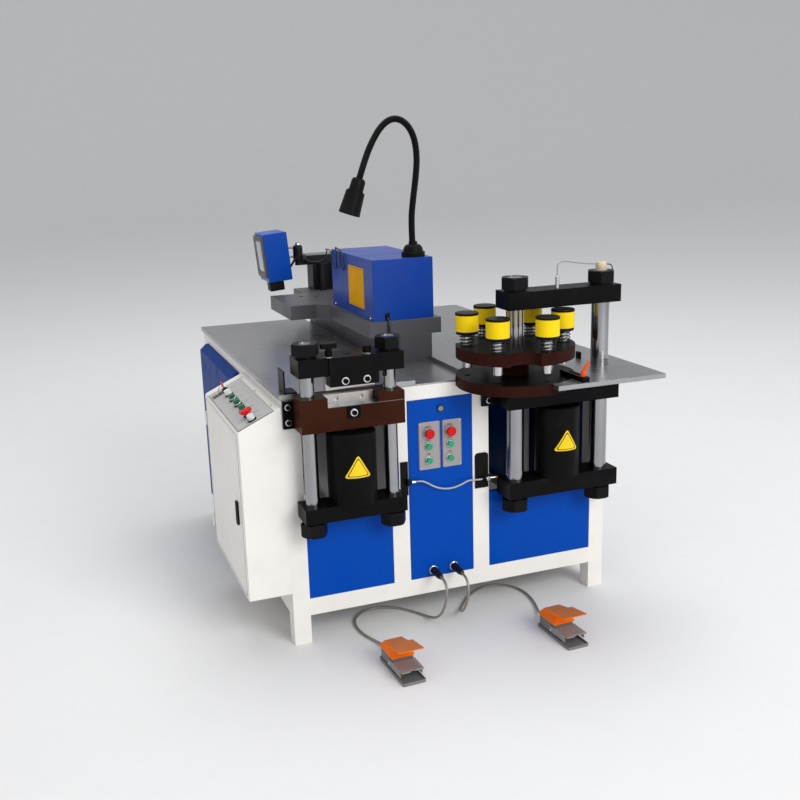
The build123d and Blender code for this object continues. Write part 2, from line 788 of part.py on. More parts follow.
def make_shear_top_beam():
    """The moving beam and the blade holder that is bolted under and before it."""
    beam = slab(shear_left - 1.4, shear_right + 1, unit_front, unit_back, shear_beam_low, shear_beam_high)
    beam = bored(beam, shear_column_x, shear_column_r + seat_clearance)
    beam = beam - slab(shear_centre_x - 18, shear_centre_x + 6, -72, -64, shear_beam_high - 6,
                       shear_beam_high + cut_margin)
    screw = chamfer(Cylinder(cap_screw_r, 22).faces().sort_by(Axis.Z)[-1].edges(), 1.5)
    screw_x, screw_y = cap_screw_at
    washer = upright(screw_x, screw_y, shear_beam_high, shear_beam_high + 3, cap_screw_r + 2)
    beam = beam + Pos(screw_x, screw_y, shear_beam_high + cap_screw_height - 11) * screw + washer
    beam = beam - upright(wing_x, wing_y, shear_beam_low - cut_margin, shear_beam_high + cut_margin,
                          wing_stem_r + slide_clearance)
    holder_front = unit_front - holder_proud
    under = slab(holder_left, holder_right, unit_front, holder_back, holder_low, shear_beam_low)
    front = slab(holder_left, holder_right, holder_front, unit_front, holder_low, shear_beam_high)
    pocket = slab(holder_left - cut_margin, holder_right + cut_margin, blade_plane - blade_thickness - body_gap,
                  blade_plane - body_gap, holder_low - cut_margin, upper_blade_top)
    holder = under + front - pocket
    for x in holder_screw_x:
        holder = holder - level_bar(x, holder_screw_z, holder_front - cut_margin, unit_front + 4,
                                    holder_screw_r + 1.5)
        holder = holder + level_bar(x, holder_screw_z, holder_front - 3, unit_front + 4, holder_screw_r)
        holder = holder - level_bar(x, holder_screw_z, holder_front - 4, unit_front - 3, holder_screw_r * 0.55)
    save("shear_top_beam", beam, holder)


def make_shear_base():
    plate = slab(shear_left - 1.4, shear_right, unit_front, unit_back, shear_plate_low, shear_plate_high)
    plate = bored(plate, shear_column_x, shear_column_r + seat_clearance)
    save("shear_base", plate, barrel(shear_centre_x, shear_plate_high, shear_barrel_top, shear_barrel_r))


def make_upper_blade():
    """A knife with a slightly raked lower edge, let into the holder."""
    left = notch_left + 3
    right = notch_right - 2
    with BuildSketch(Plane.XZ) as face:
        Polygon((left, upper_blade_bottom), (right, upper_blade_bottom + upper_blade_rake),
                (right - 3, upper_blade_top), (left, upper_blade_top), align=None)
    blade = Pos(0, blade_plane - body_gap, 0) * extrude(face.sketch, blade_thickness)
    save("upper_blade", blade)


def make_wing_knob():
    """A clamping screw with a two-lobed grip."""
    stem = upright(wing_x, wing_y, shear_beam_low + 10, shear_beam_high + 6, wing_stem_r)
    collar = upright(wing_x, wing_y, shear_beam_high + body_gap, shear_beam_high + 30, 9.5)
    lobes = Pos(wing_x, wing_y, shear_beam_high + 37) * extrude(SlotOverall(54, 22), 8, both=True)
    lobes = fillet(lobes.faces().sort_by(Axis.Z)[-1].edges(), 3.0)
    save("wing_knob", stem + collar + lobes)


def make_punch_block():
    """The fixed block under the turret, stepped down below the lower disc."""
    block = slab(punch_left, punch_right, unit_front, unit_back, punch_block_low, bed_height)
    block = block - upright(turret_x, unit_axis_y, disc_recess_floor, bed_height + cut_margin, disc_recess_r)
    block = bored(block, punch_column_x, punch_column_r + slide_clearance)
    block = block + slab(punch_ear_left, punch_left, -ear_thickness, 0, punch_block_low, bed_height - 66)
    block = block + slab(punch_right - 38.5, punch_right, unit_back, 0, punch_block_low + 5, bed_height - 55)
    save("punch_block", block, piston(punch_centre_x, punch_block_low, punch_barrel_r))


def make_punch_columns():
    save("punch_columns", *columns(punch_column_x, punch_column_r, punch_nut_bottom, punch_nut_top,
                                   punch_plate_low, punch_beam_high, punch_nut_flats))


def make_punch_top_beam():
    beam = slab(punch_left + 0.5, punch_right + 0.5, unit_front, unit_back, punch_beam_low, punch_beam_high)
    beam = chamfer(beam.edges().filter_by(Axis.Z), 1.5)
    save("punch_top_beam", bored(beam, punch_column_x, punch_column_r + seat_clearance))


def make_punch_base():
    plate = slab(punch_left + 3.5, punch_right + 0.5, unit_front, unit_back, punch_plate_low, punch_plate_high)
    plate = bored(plate, punch_column_x, punch_column_r + seat_clearance)
    save("punch_base", plate, barrel(punch_centre_x, punch_plate_high, punch_barrel_top, punch_barrel_r))


def make_sensor_post():
    """A probe screwed into the beam and its switch block on the right-hand nut."""
    probe_x, probe_y = probe_at
    probe = upright(probe_x, probe_y, punch_beam_high, punch_beam_high + probe_height, probe_r)
    probe = chamfer(probe.faces().sort_by(Axis.Z)[-1].edges(), 2.0)
    width, depth, height = switch_size
    left = punch_column_x[1] + 2 - width / 2
    switch = slab(left, left + width, unit_axis_y - depth / 2, unit_axis_y + depth / 2,
                  punch_nut_top, punch_nut_top + height)
    switch = fillet(switch.edges().filter_by(Axis.Z), 4.0)
    save("sensor_post", probe, switch)


# Turret

def station(angle, radius):
    return (turret_x + radius * math.cos(math.radians(angle)), unit_axis_y + radius * math.sin(math.radians(angle)))


def make_turret_lower_disc():
    """The die plate, with a die let into each station."""
    disc = upright(turret_x, unit_axis_y, lower_disc_low, lower_disc_high, disc_r)
    disc = chamfer(disc.edges().filter_by(GeomType.CIRCLE), 1.5)
    disc = disc - upright(turret_x, unit_axis_y, 0, cut_height, punch_column_r + turret_bore_gap)
    seat_low = lower_disc_high - die_depth
    dies = []
    for angle in station_angles:
        x, y = station(angle, station_r)
        disc = disc - upright(x, y, seat_low, lower_disc_high + cut_margin, die_r)
        disc = disc - upright(x, y, lower_disc_low - cut_margin, lower_disc_high, die_r * 0.7)
        die = upright(x, y, seat_low, lower_disc_high, die_r - seat_clearance)
        dies.append(die - upright(x, y, lower_disc_low, lower_disc_high + cut_margin, die_hole_r))
    save("turret_lower_disc", disc, *dies)


def make_turret_upper_disc():
    """The punch plate: three deep scallops, six bored stations and the hub."""
    low = upper_disc_low - cut_margin
    high = upper_disc_high + cut_margin
    disc = upright(turret_x, unit_axis_y, upper_disc_low, upper_disc_high, disc_r)
    for k in range(0, station_count, 2):
        x, y = station(station_angles[k] + 180 / station_count, scallop_centre_r)
        disc = disc - upright(x, y, low, high, scallop_r)
    disc = disc + upright(turret_x, unit_axis_y, lower_disc_high, upper_disc_low, hub_r)
    for angle in station_angles:
        x, y = station(angle, station_r)
        disc = disc - upright(x, y, low, high, punch_sleeve_r + slide_clearance)
    disc = disc - upright(turret_x, unit_axis_y, 0, cut_height, punch_column_r + turret_bore_gap)
    save("turret_upper_disc", disc)


def make_punches():
    """Six sleeves, each with its neck, flange, coloured ring and top plate."""
    profile = stepped(
        (punch_sleeve_r, punch_neck_low - punch_sleeve_low),
        (punch_neck_r, punch_base_low - punch_neck_low),
        (punch_base_r, punch_ring_low - punch_base_low),
        (punch_ring_r, punch_ring_high - punch_ring_low),
        (punch_cap_r, punch_cap_top - punch_ring_high),
    )
    profile = fillet(profile.faces().sort_by(Axis.Z)[-1].edges(), 3.0)
    for k, angle in enumerate(station_angles):
        x, y = station(angle, station_r)
        punch = Pos(x, y, punch_sleeve_low) * profile
        tip = upright(x, y, punch_sleeve_low - cut_margin, punch_sleeve_low + 12, die_hole_r - 1)
        save(f"punch_{k + 1}", punch - tip)


def make_punch_springs():
    """Return springs between the upper disc and each punch neck."""
    inner = punch_sleeve_r + spring_inner_gap
    free = punch_neck_low - upper_disc_high - spring_wire - 2 * body_gap
    path = Helix(free / spring_turns, free, inner + spring_wire / 2)
    section = Plane(origin=path @ 0, z_dir=path % 0) * Rectangle(spring_wire, spring_wire)
    coil = sweep(section, path=path, is_frenet=True)
    springs = []
    for angle in station_angles:
        x, y = station(angle, station_r)
        springs.append(Pos(x, y, upper_disc_high + body_gap + spring_wire / 2) * coil)
    save("punch_springs", *springs)


def make_stop_arm():
    """The length stop on the table's front strip, and a rear stop block."""
    top = table_height + arm_height
    middle = arm_left + arm_width / 2
    arm = eased(slab(arm_left, arm_left + arm_width, arm_front, arm_rear, table_height, top), 3.0)
    slot = Pos(middle, arm_front + 75, table_height) * extrude(SlotOverall(70, 9, rotation=90), 40)
    stud = upright(middle, lever_y, table_height, top + 14, 4.0)
    x0, x1, y0, y1 = rear_stop
    block = slab(x0, x1, y0, y1, table_height, table_height + rear_stop_height)
    save("stop_arm", arm - slot + stud, eased(block, 1.0))


def make_clamp_lever():
    """A ratchet lever: a hub on its stud and a raised, tapered handle."""
    x = arm_left + arm_width / 2
    z = table_height + arm_height + body_gap
    hub = Pos(x, lever_y, z + lever_hub_height / 2) * Cone(lever_hub_r, lever_hub_r - 2, lever_hub_height)
    root = Plane(origin=(x, lever_y, z + lever_hub_height - 7), z_dir=lever_lean)
    handle = loft([root * Circle(6.0), root.offset(lever_reach) * Circle(4.5)])
    hub = hub + handle + Pos(*(root.offset(lever_reach).origin)) * Sphere(4.5)
    bore = upright(x, lever_y, z - cut_margin, table_height + arm_height + 15, 4.0 + slide_clearance)
    save("clamp_lever", hub - bore)


# Bending unit

def make_bend_body():
    """The lower block and the thick plate on it, with its side wing."""
    block = slab(bend_body_left, bend_body_right, bend_front, frame_depth, bed_height, bend_body_top)
    with BuildSketch(Plane.XY) as outline:
        Polygon(
            (bend_plate_left, bend_front), (bend_plate_right, bend_front), (bend_plate_right, bend_rear),
            (bend_plate_left, bend_rear), (bend_plate_left, arm_plate_rear), (arm_plate_left, arm_plate_rear),
            (arm_plate_left, arm_plate_front), (bend_plate_left - 45, arm_plate_front),
            (bend_plate_left, arm_plate_front - 50), align=None,
        )
    plate = Pos(0, 0, bend_body_top) * extrude(outline.sketch, bend_plate_top - bend_body_top)
    for x, y, radius in plate_holes:
        plate = plate - upright(x, y, bend_plate_top - plate_hole_depth, bend_plate_top + cut_margin, radius)
    save("bend_body", block, plate)


def make_bend_cover():
    """A folded hood over the bending cylinder, open below and behind."""
    sheet = cover_sheet
    hood = slab(cover_left, cover_right, cover_front, cover_rear, bend_plate_top, cover_top)
    hood = fillet(hood.edges().filter_by(Axis.Z), 3.0)
    inside = slab(cover_left + sheet, cover_right - sheet, cover_front + sheet, cover_rear + cut_margin,
                  bend_plate_top - cut_margin, cover_top - sheet)
    slot_left, slot_right, slot_height = cover_slot
    slot = slab(slot_left, slot_right, cover_front - cut_margin, cover_front + 10,
                bend_plate_top - cut_margin, bend_plate_top + slot_height)
    save("bend_cover", hood - inside - slot)


def make_bend_head():
    """The cylinder on its support, and the fixed die with the display's bridge."""
    support = slab(ram_x - ram_support_half, ram_x + ram_support_half, ram_support_front, ram_support_rear,
                   bend_plate_top, ram_support_top)
    cylinder = support + level_bar(ram_x, ram_z, ram_barrel_front, ram_support_front, ram_barrel_r)
    cylinder = cylinder - level_bar(ram_x, ram_z, ram_barrel_front + 50, ram_support_rear + cut_margin,
                                    ram_rod_r + slide_clearance)
    die_top = bend_plate_top + die_height
    die_rear = bend_rear
    block = slab(die_left, die_right, die_front, die_rear, bend_plate_top, die_top)
    deep = die_vee_front + die_vee_depth
    with BuildSketch(Plane.XY) as vee:
        Polygon((ram_x - die_vee_half, die_front), (ram_x - die_vee_half, die_vee_front),
                (ram_x - die_vee_depth, die_vee_front), (ram_x, deep), (ram_x + die_vee_depth, die_vee_front),
                (ram_x + die_vee_half, die_vee_front), (ram_x + die_vee_half, die_front), align=None)
    die = Pos(0, 0, bend_plate_top) * extrude(vee.sketch, die_height)
    bridge = slab(bridge_left, bridge_right, die_front - 4, die_rear, die_top, die_top + bridge_height)
    arm = slab(pivot_x - 8, bridge_left + 4, pivot_y - 12, pivot_y + 12, pivot_low, pivot_high)
    lug = slab(bridge_left, bridge_left + 27, pivot_y - 12, pivot_y + 12, pivot_low, die_top)
    pin = upright(pivot_x, pivot_y, pivot_low, pivot_high, pivot_r - 6)
    save("bend_head", cylinder, joined([block, die, bridge, lug, arm, pin]))


def make_bend_ram():
    """The piston rod and its wedge-nosed bending punch."""
    back, shoulder, tip = ram_nose_y
    rod = level_bar(ram_x, ram_z, ram_barrel_front + 80, back + 5, ram_rod_r)
    with BuildSketch(Plane.XY) as nose:
        Polygon((ram_x - ram_nose_half, back), (ram_x + ram_nose_half, back), (ram_x + ram_nose_half, shoulder),
                (ram_x, tip), (ram_x - ram_nose_half, shoulder), align=None)
    punch = Pos(0, 0, bend_plate_top + body_gap) * extrude(nose.sketch, ram_nose_height)
    save("bend_ram", rod + punch)


def make_work_lamp():
    """Foot on the cover, semi-rigid neck and conical lamp head."""
    foot = Pos(lamp_x, lamp_y, cover_top) * stepped((lamp_foot_r, 20.0), (lamp_foot_r * 0.62, 14.0), (17.0, 12.0))
    foot = fillet(foot.faces().sort_by(Axis.Z)[-1].edges(), 3.0)
    points = [Vector(x, lamp_y, cover_top + rise) for x, rise in lamp_neck_points]
    path = FilletPolyline(*points, radius=corner_radii(points))
    neck = sweep(Plane(origin=path @ 0, z_dir=path % 0) * Circle(lamp_neck_r), path=path)
    axis = Plane(origin=path @ 1, z_dir=path % 1)
    head = loft([axis.offset(-4) * Circle(20.0), axis.offset(40) * Circle(26.0)])
    shade = loft([axis.offset(40) * Circle(30.0), axis.offset(122) * Circle(39.0)])
    mouth = loft([axis.offset(96) * Circle(33.0), axis.offset(123) * Circle(36.0)])
    save("work_lamp", foot + neck + head + (shade - mouth))


def make_display():
    """A boxed screen on two rods that reach to a clamp on the bridge's pivot."""
    width, depth, height = display_size
    placed = Pos(*display_centre) * Rot(0, display_lean, 0)
    case = fillet(Box(width, depth, height).edges().filter_by(Axis.Y), 4.0)
    surround = Pos(-width / 2 - 4, 0, 4) * Box(10, depth - 8, height - 30)
    screen = Pos(-width / 2 - 9, 0, 8) * Box(6, depth - 44, height - 78)
    plug = Pos(-2, -30, -height / 2 - 20) * Cylinder(19, 42)
    case = placed * (case + surround - screen + plug)
    clamp_low = pivot_high + body_gap
    clamp = upright(pivot_x, pivot_y, clamp_low, clamp_low + 64, pivot_r)
    clamp = chamfer(clamp.faces().sort_by(Axis.Z)[-1].edges(), 8.0)
    stem = upright(pivot_x, pivot_y, clamp_low + 60, clamp_low + 76, 9)
    right_side = display_centre[0] + width / 2
    rods = [cross_bar(right_side - 8, pivot_x, pivot_y, z, display_rod_r) for z in display_rods_z]
    strut_foot = Vector(right_side + 2, pivot_y - 14, display_centre[2] - height / 2 + 22)
    strut_top = Vector(pivot_x - 8, pivot_y - 14, clamp_low + 20)
    strut = loft([Plane(origin=strut_foot, z_dir=strut_top - strut_foot) * Circle(5.0),
                  Plane(origin=strut_top, z_dir=strut_top - strut_foot) * Circle(5.0)])
    save("display", joined([case, clamp, stem, strut] + rods))


# Foot pedals

def pedal_place(at, shape):
    """Pedal shapes are drawn with X across and -Y running to the toe."""
    return Pos(at[0], at[1], 0) * Rot(0, 0, at[2]) * shape


def pedal_base():
    base = slab(0, pedal_width, -pedal_length, 0, 0, pedal_rim)
    base = fillet(base.edges().filter_by(Axis.Z), pedal_corner)
    base = base - slab(3, pedal_width - 3, 3 - pedal_length, -3, pedal_floor, pedal_rim + cut_margin)
    housing = slab(housing_side, pedal_width - housing_side, housing_front, housing_back, pedal_floor, hood_low)
    entry = level_bar(pedal_width / 2, 24, housing_back, 0, 9)
    pin = cross_bar(0.5, pedal_width - 0.5, -treadle_pivot_back, treadle_pivot_z, treadle_pin_r)
    return joined([base, housing, entry, pin])


def pedal_hood():
    """A guard with sloping sides and a lifted visor over the treadle."""
    with BuildSketch(Plane.YZ) as side:
        Polygon(*[(y, hood_low + rise) for y, rise in hood_profile], align=None)
    body = extrude(side.sketch, pedal_width)
    top = max(rise for y, rise in hood_profile)
    with BuildSketch(Plane.XZ) as front:
        Polygon(
            (1, hood_low), (pedal_width - 1, hood_low), (pedal_width - 1, hood_low + 7),
            (pedal_width - hood_taper, hood_low + 30), (pedal_width - hood_taper, hood_low + top + 1),
            (hood_taper, hood_low + top + 1), (hood_taper, hood_low + 30), (1, hood_low + 7), align=None,
        )
    body = body & extrude(front.sketch, pedal_length)
    with BuildSketch(Plane.YZ) as lifted:
        Polygon(*[(y, hood_low + rise) for y, rise in visor_profile], align=None)
    return body + Pos(-visor_overhang, 0, 0) * extrude(lifted.sketch, pedal_width + 2 * visor_overhang)


def make_pedal_bases():
    """Cast base plate with its switch housing, and the guard pressed over it."""
    solids = []
    for at in (left_pedal_at, right_pedal_at):
        solids.append(pedal_place(at, pedal_base()))
        solids.append(pedal_place(at, pedal_hood()))
    save("foot_pedals", *solids)


def treadle():
    """The tread plate with its two side arms on the hinge pin."""
    low, high = treadle_pivot_z - 7, tread_low + 1
    tread = slab(1, pedal_width - 1, tread_front, tread_back, tread_low, tread_high)
    tread = tread - slab(30, 46, tread_front - cut_margin, tread_front + 7, 0, 60)
    tread = tread - slab(46, pedal_width, tread_front - cut_margin, tread_front + 3, 0, 60)
    for x in (0.5, pedal_width - 0.5 - treadle_arm):
        arm = slab(x, x + treadle_arm, -170, -treadle_pivot_back + 8, low, high)
        pin = cross_bar(x - 1, x + treadle_arm + 1, -treadle_pivot_back, treadle_pivot_z,
                        treadle_pin_r + slide_clearance)
        tread = tread + (arm - pin)
    return tread


def make_treadles():
    save("left_treadle", pedal_place(left_pedal_at, treadle()))
    save("right_treadle", pedal_place(right_pedal_at, treadle()))


# Cables

def corner_radii(points):
    """The largest arc that the two runs beside each corner allow."""
    radii = []
    for before, at, after in zip(points, points[1:], points[2:]):
        run = min((at - before).length, (after - at).length)
        half_turn = math.radians((at - before).get_angle(after - at)) / 2
        radii.append(0.45 * run / math.tan(half_turn))
    return radii


def make_cord(name, route, radius):
    points = [Vector(*point) for point in route]
    radii = corner_radii(points)
    path = FilletPolyline(*points, radius=radii)
    tube = sweep(Plane(origin=path @ 0, z_dir=path % 0) * Circle(radius), path=path)
    expected = math.pi * radius ** 2 * path.length
    print(f"{name}: length {path.length:.0f}, tightest radius {min(radii):.0f}, "
          f"volume over section times length {tube.volume / expected:.4f}")
    save(name, tube)


def make_cable_connectors():
    """Round connectors that stand out of the front panel, each on its flange."""
    solids = []
    for x, z in (left_connector, right_connector):
        flange = Pos(0, 0, 2) * Cylinder(connector_r + 2, 4)
        shell = Pos(0, 0, 4) * stepped((connector_r, 26), (connector_r - 2, 26), (connector_r - 5, 14.5))
        tail = Pos(0, 0, -5) * Cylinder(connector_r * 0.6 - seat_clearance, 10)
        solids.append(on_panel(joined([flange, shell, tail]), x, z))
    save("cable_connectors", *solids)


def make_sensor_brackets():
    """Two black plates on the posts with their connectors, and a table bracket."""
    sheet = bracket_sheet
    lug_front = -sheet - bracket_lug
    x0, x1, z0, z1 = left_bracket
    left = slab(x0, x1, -sheet, 0, z0, z1)
    left = left + slab(x1 - 8.5, x1, lug_front, -sheet, link_left_z - 10.5, link_left_z + 10.5)
    left = left + cross_bar(x1 - 0.5, link_cable_points[0][0], link_cable_points[0][1], link_left_z, link_socket_r)
    x0, x1, z0, z1 = right_bracket
    right = slab(x0, x1, -sheet, 0, z0, z1)
    right = fillet(right.edges().filter_by(Axis.Y).sort_by(Axis.Z)[-2:], 12.0)
    right = right + slab(x1 - 10.6, x1, lug_front, -sheet, link_right_z - 11, link_right_z + 11)
    cable_x, cable_y, cable_z = link_cable_points[-1]
    right = right + cross_bar(cable_x, cable_x + 47, cable_y, cable_z, link_socket_r)
    right = right + cross_bar(cable_x + 47, cable_x + 56, cable_y, cable_z, link_cable_r)
    x0, x1, x2 = table_bracket_x
    bracket = slab(x0, x1, 0, table_bracket_depth, table_height, table_bracket_high)
    bracket = bracket + slab(x0, x2, 0, table_bracket_depth, table_height, table_height + x1 - x0)
    save("sensor_brackets", left, right, bracket)


make_frame()
make_bed_plate()
make_left_table()
make_right_table()
make_front_panels()
make_body_covers()
make_control_plates()
make_panel_lock()
make_door_buttons()
make_plate_buttons()
make_control_cabinet()
make_cabinet_door()
make_cabinet_latch()
make_shear_block()
make_lower_blade()
make_shear_columns()
make_shear_top_beam()
make_shear_base()
make_upper_blade()
make_wing_knob()
make_punch_block()
make_punch_columns()
make_punch_top_beam()
make_punch_base()
make_sensor_post()
make_turret_lower_disc()
make_turret_upper_disc()
make_punches()
make_punch_springs()
make_stop_arm()
make_clamp_lever()
make_bend_body()
make_bend_cover()
make_bend_head()
make_bend_ram()
make_work_lamp()
make_display()
make_pedal_bases()
make_treadles()
make_cable_connectors()
make_sensor_brackets()
make_cord("left_pedal_cord", left_cord_points, cord_r)
make_cord("right_pedal_cord", right_cord_points, cord_r)
make_cord("link_cable", link_cable_points, link_cable_r)
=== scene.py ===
# %% [markdown]
# A busbar processing machine. The solids come in as a fixed frame and stay where they are.
# This file gives each of them its finish, and adds the parts that are too fine for the solids:
# springs, screws, signs, the lamp's ribbed neck, the display and the cables.

# %% Load the frame
import math

import bpy
from mathutils import Matrix, Vector


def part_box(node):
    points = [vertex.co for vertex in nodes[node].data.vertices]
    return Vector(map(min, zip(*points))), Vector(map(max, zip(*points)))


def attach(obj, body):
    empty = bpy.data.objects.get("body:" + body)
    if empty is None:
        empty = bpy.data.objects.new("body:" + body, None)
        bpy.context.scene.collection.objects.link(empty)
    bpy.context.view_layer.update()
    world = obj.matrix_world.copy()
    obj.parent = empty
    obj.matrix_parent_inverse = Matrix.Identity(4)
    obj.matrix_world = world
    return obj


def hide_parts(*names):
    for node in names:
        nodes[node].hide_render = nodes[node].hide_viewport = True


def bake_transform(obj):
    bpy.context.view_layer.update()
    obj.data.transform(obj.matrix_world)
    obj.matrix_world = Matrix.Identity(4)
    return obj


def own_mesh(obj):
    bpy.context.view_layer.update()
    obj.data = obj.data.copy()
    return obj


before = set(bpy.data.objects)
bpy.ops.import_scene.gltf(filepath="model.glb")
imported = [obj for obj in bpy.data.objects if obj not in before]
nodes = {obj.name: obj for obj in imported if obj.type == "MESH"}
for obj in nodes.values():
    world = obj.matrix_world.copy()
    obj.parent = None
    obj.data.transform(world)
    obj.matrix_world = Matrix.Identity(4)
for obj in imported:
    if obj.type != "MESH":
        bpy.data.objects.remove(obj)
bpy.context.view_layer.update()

# %% [markdown]
# All sizes below are read off the machine in millimetres, from the corner where the front left leg
# meets the floor: X to the right, Y to the back, Z up. Blender works in metres round another
# origin, so one short function turns such a place into Blender's.

# %% Places
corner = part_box("frame")[0]


def place(x, y, z):
    """A point of the drawing, in millimetres, as a point of the scene."""
    return Vector((corner.x + x / 1000, corner.y + y / 1000, z / 1000))


print("front left foot at", place(0, 0, 0))

# %% [markdown]
# The camera stands at eye height, to the left of the machine's front. Its lens, its place and its
# three angles were found from the straight edges of the frame and the tables. The angles are turned
# into the camera's own right, up and forward directions.

# %% Camera
PICTURE_SIDE = 800
FOCAL_PIXELS = 993.06
CAMERA_YAW = math.radians(20.32)
CAMERA_PITCH = math.radians(14.19)
CAMERA_ROLL = math.radians(-1.68)
CAMERA_PLACE = (-701.23, -2970.22, 1604.65)
SENSOR = 36.0

forward = Vector((
    math.sin(CAMERA_YAW) * math.cos(CAMERA_PITCH),
    math.cos(CAMERA_YAW) * math.cos(CAMERA_PITCH),
    -math.sin(CAMERA_PITCH),
))
level = Vector((math.cos(CAMERA_YAW), -math.sin(CAMERA_YAW), 0))
overhead = level.cross(forward)
across = level * math.cos(CAMERA_ROLL) + overhead * math.sin(CAMERA_ROLL)
upward = overhead * math.cos(CAMERA_ROLL) - level * math.sin(CAMERA_ROLL)

bpy.ops.object.select_all(action="DESELECT")
bpy.ops.object.camera_add()
camera = bpy.context.object
camera.data.sensor_width = SENSOR
camera.data.lens = FOCAL_PIXELS / PICTURE_SIDE * SENSOR
camera.data.clip_end = 120
turn = Matrix((across, upward, -forward)).transposed().to_4x4()
camera.matrix_world = Matrix.Translation(place(*CAMERA_PLACE)) @ turn
scene = bpy.context.scene
scene.camera = camera
scene.view_settings.view_transform = "Standard"
print("lens", round(camera.data.lens, 2))

# %% [markdown]
# Operators act on all that is selected, so each step starts with nothing selected. Faces, edges and
# vertices are then chosen in code, by where they lie and which way they look, much as a hand would
# click them.

# %% Selecting by place
def fresh():
    """Leaves nothing selected, in object mode."""
    if bpy.context.mode != "OBJECT":
        bpy.ops.object.mode_set(mode="OBJECT")
    bpy.ops.object.select_all(action="DESELECT")


def pick(kind, test):
    """In edit mode, selects the faces, edges or vertices whose middle passes the test."""
    bpy.ops.mesh.select_mode(type=kind)
    bpy.ops.mesh.select_all(action="DESELECT")
    bpy.ops.object.mode_set(mode="OBJECT")
    mesh = bpy.context.object.data
    for item in {"FACE": mesh.polygons, "EDGE": mesh.edges, "VERT": mesh.vertices}[kind]:
        if kind == "EDGE":
            start, end = (mesh.vertices[i].co for i in item.vertices)
            item.select = bool(test((start + end) / 2, (end - start).normalized()))
        elif kind == "FACE":
            item.select = bool(test(item.center, item.normal))
        else:
            item.select = bool(test(item.co, None))
    bpy.ops.object.mode_set(mode="EDIT")


print("selection helpers ready")

# %% [markdown]
# The studio is a pale floor that bends up into a backdrop, so that no horizon line shows. It is
# modelled as by hand: a plane, its rear edge pulled up, and the fold between them rounded.

# %% Floor and backdrop
FLOOR_TONE = (0.80, 0.80, 0.80)
FLOOR_SIDE = 80.0
FLOOR_CENTRE = (4, -8, 0)
FLOOR_REAR = FLOOR_CENTRE[1] + FLOOR_SIDE / 2
BACKDROP_HEIGHT = 24
FOLD_RADIUS = 12.0
FOLD_STEPS = 24
CLOSE = 0.1

fresh()
bpy.ops.mesh.primitive_plane_add(size=FLOOR_SIDE, location=FLOOR_CENTRE)
floor = bpy.context.object
floor.name = "studio_floor"
bpy.ops.object.transform_apply(location=True, rotation=False, scale=False)
bpy.ops.object.mode_set(mode="EDIT")
pick("EDGE", lambda middle, direction: middle.y > FLOOR_REAR - CLOSE)
bpy.ops.mesh.extrude_region_move(TRANSFORM_OT_translate={"value": (0, 0, BACKDROP_HEIGHT)})
pick("EDGE", lambda middle, direction: middle.y > FLOOR_REAR - CLOSE and middle.z < CLOSE)
bpy.ops.mesh.bevel(offset=FOLD_RADIUS, segments=FOLD_STEPS)
fresh()
floor.select_set(True)
bpy.ops.object.shade_smooth()
print("floor faces", len(floor.data.polygons))

# %% [markdown]
# Materials are graphs of nodes. Written out node by node they are long, so one small class wraps a
# node's output: plus, minus, times and comparisons on it add the matching Math nodes, and one
# method makes any other node from its type, its settings and what goes into its sockets.

# %% Wires
class Wire:
    """An output of a material's node tree."""

    def __init__(self, tree, socket=None):
        self.tree = tree
        self.socket = socket

    def node(self, kind, settings=None, values=None, output=0):
        """Any node: its settings are set first, then the values or wires of its sockets."""
        made = self.tree.nodes.new(kind)
        for name, value in (settings or {}).items():
            setattr(made, name, value)
        for name, value in (values or {}).items():
            if isinstance(value, Wire):
                self.tree.links.new(value.socket, made.inputs[name])
            else:
                made.inputs[name].default_value = value
        return Wire(self.tree, made.outputs[output] if len(made.outputs) else None)

    def maths(self, operation, *terms):
        """A Math node on numbers and wires."""
        return self.node("ShaderNodeMath", {"operation": operation}, dict(enumerate(terms)))

    def __add__(self, other):
        return self.maths("ADD", self, other)

    __radd__ = __add__

    def __sub__(self, other):
        return self.maths("SUBTRACT", self, other)

    def __rsub__(self, other):
        return self.maths("SUBTRACT", other, self)

    def __mul__(self, other):
        return self.maths("MULTIPLY", self, other)

    __rmul__ = __mul__

    def __gt__(self, other):
        return self.maths("GREATER_THAN", self, other)

    def __lt__(self, other):
        return self.maths("LESS_THAN", self, other)

    def blend(self, first, second):
        """Mixes two tones or colour wires, the second where this wire is 1."""
        first, second = (tone if isinstance(tone, Wire) else (*tone, 1.0) for tone in (first, second))
        sockets = {"Factor": self, 6: first, 7: second}
        return self.node("ShaderNodeMix", {"data_type": "RGBA"}, sockets, 2)


print("wires ready")

# %% [markdown]
# Every finish starts from the same things: the piece's own coordinates, broad cloudy noise for
# uneven colour, fine noise for the grain, and softened edges. Paint and steel catch the light along
# their edges because no real edge is sharp, and a Bevel node gives the solids that narrow bright
# line without changing their meshes.

# %% Start of a finish
EDGE_ROUNDING = 0.0012


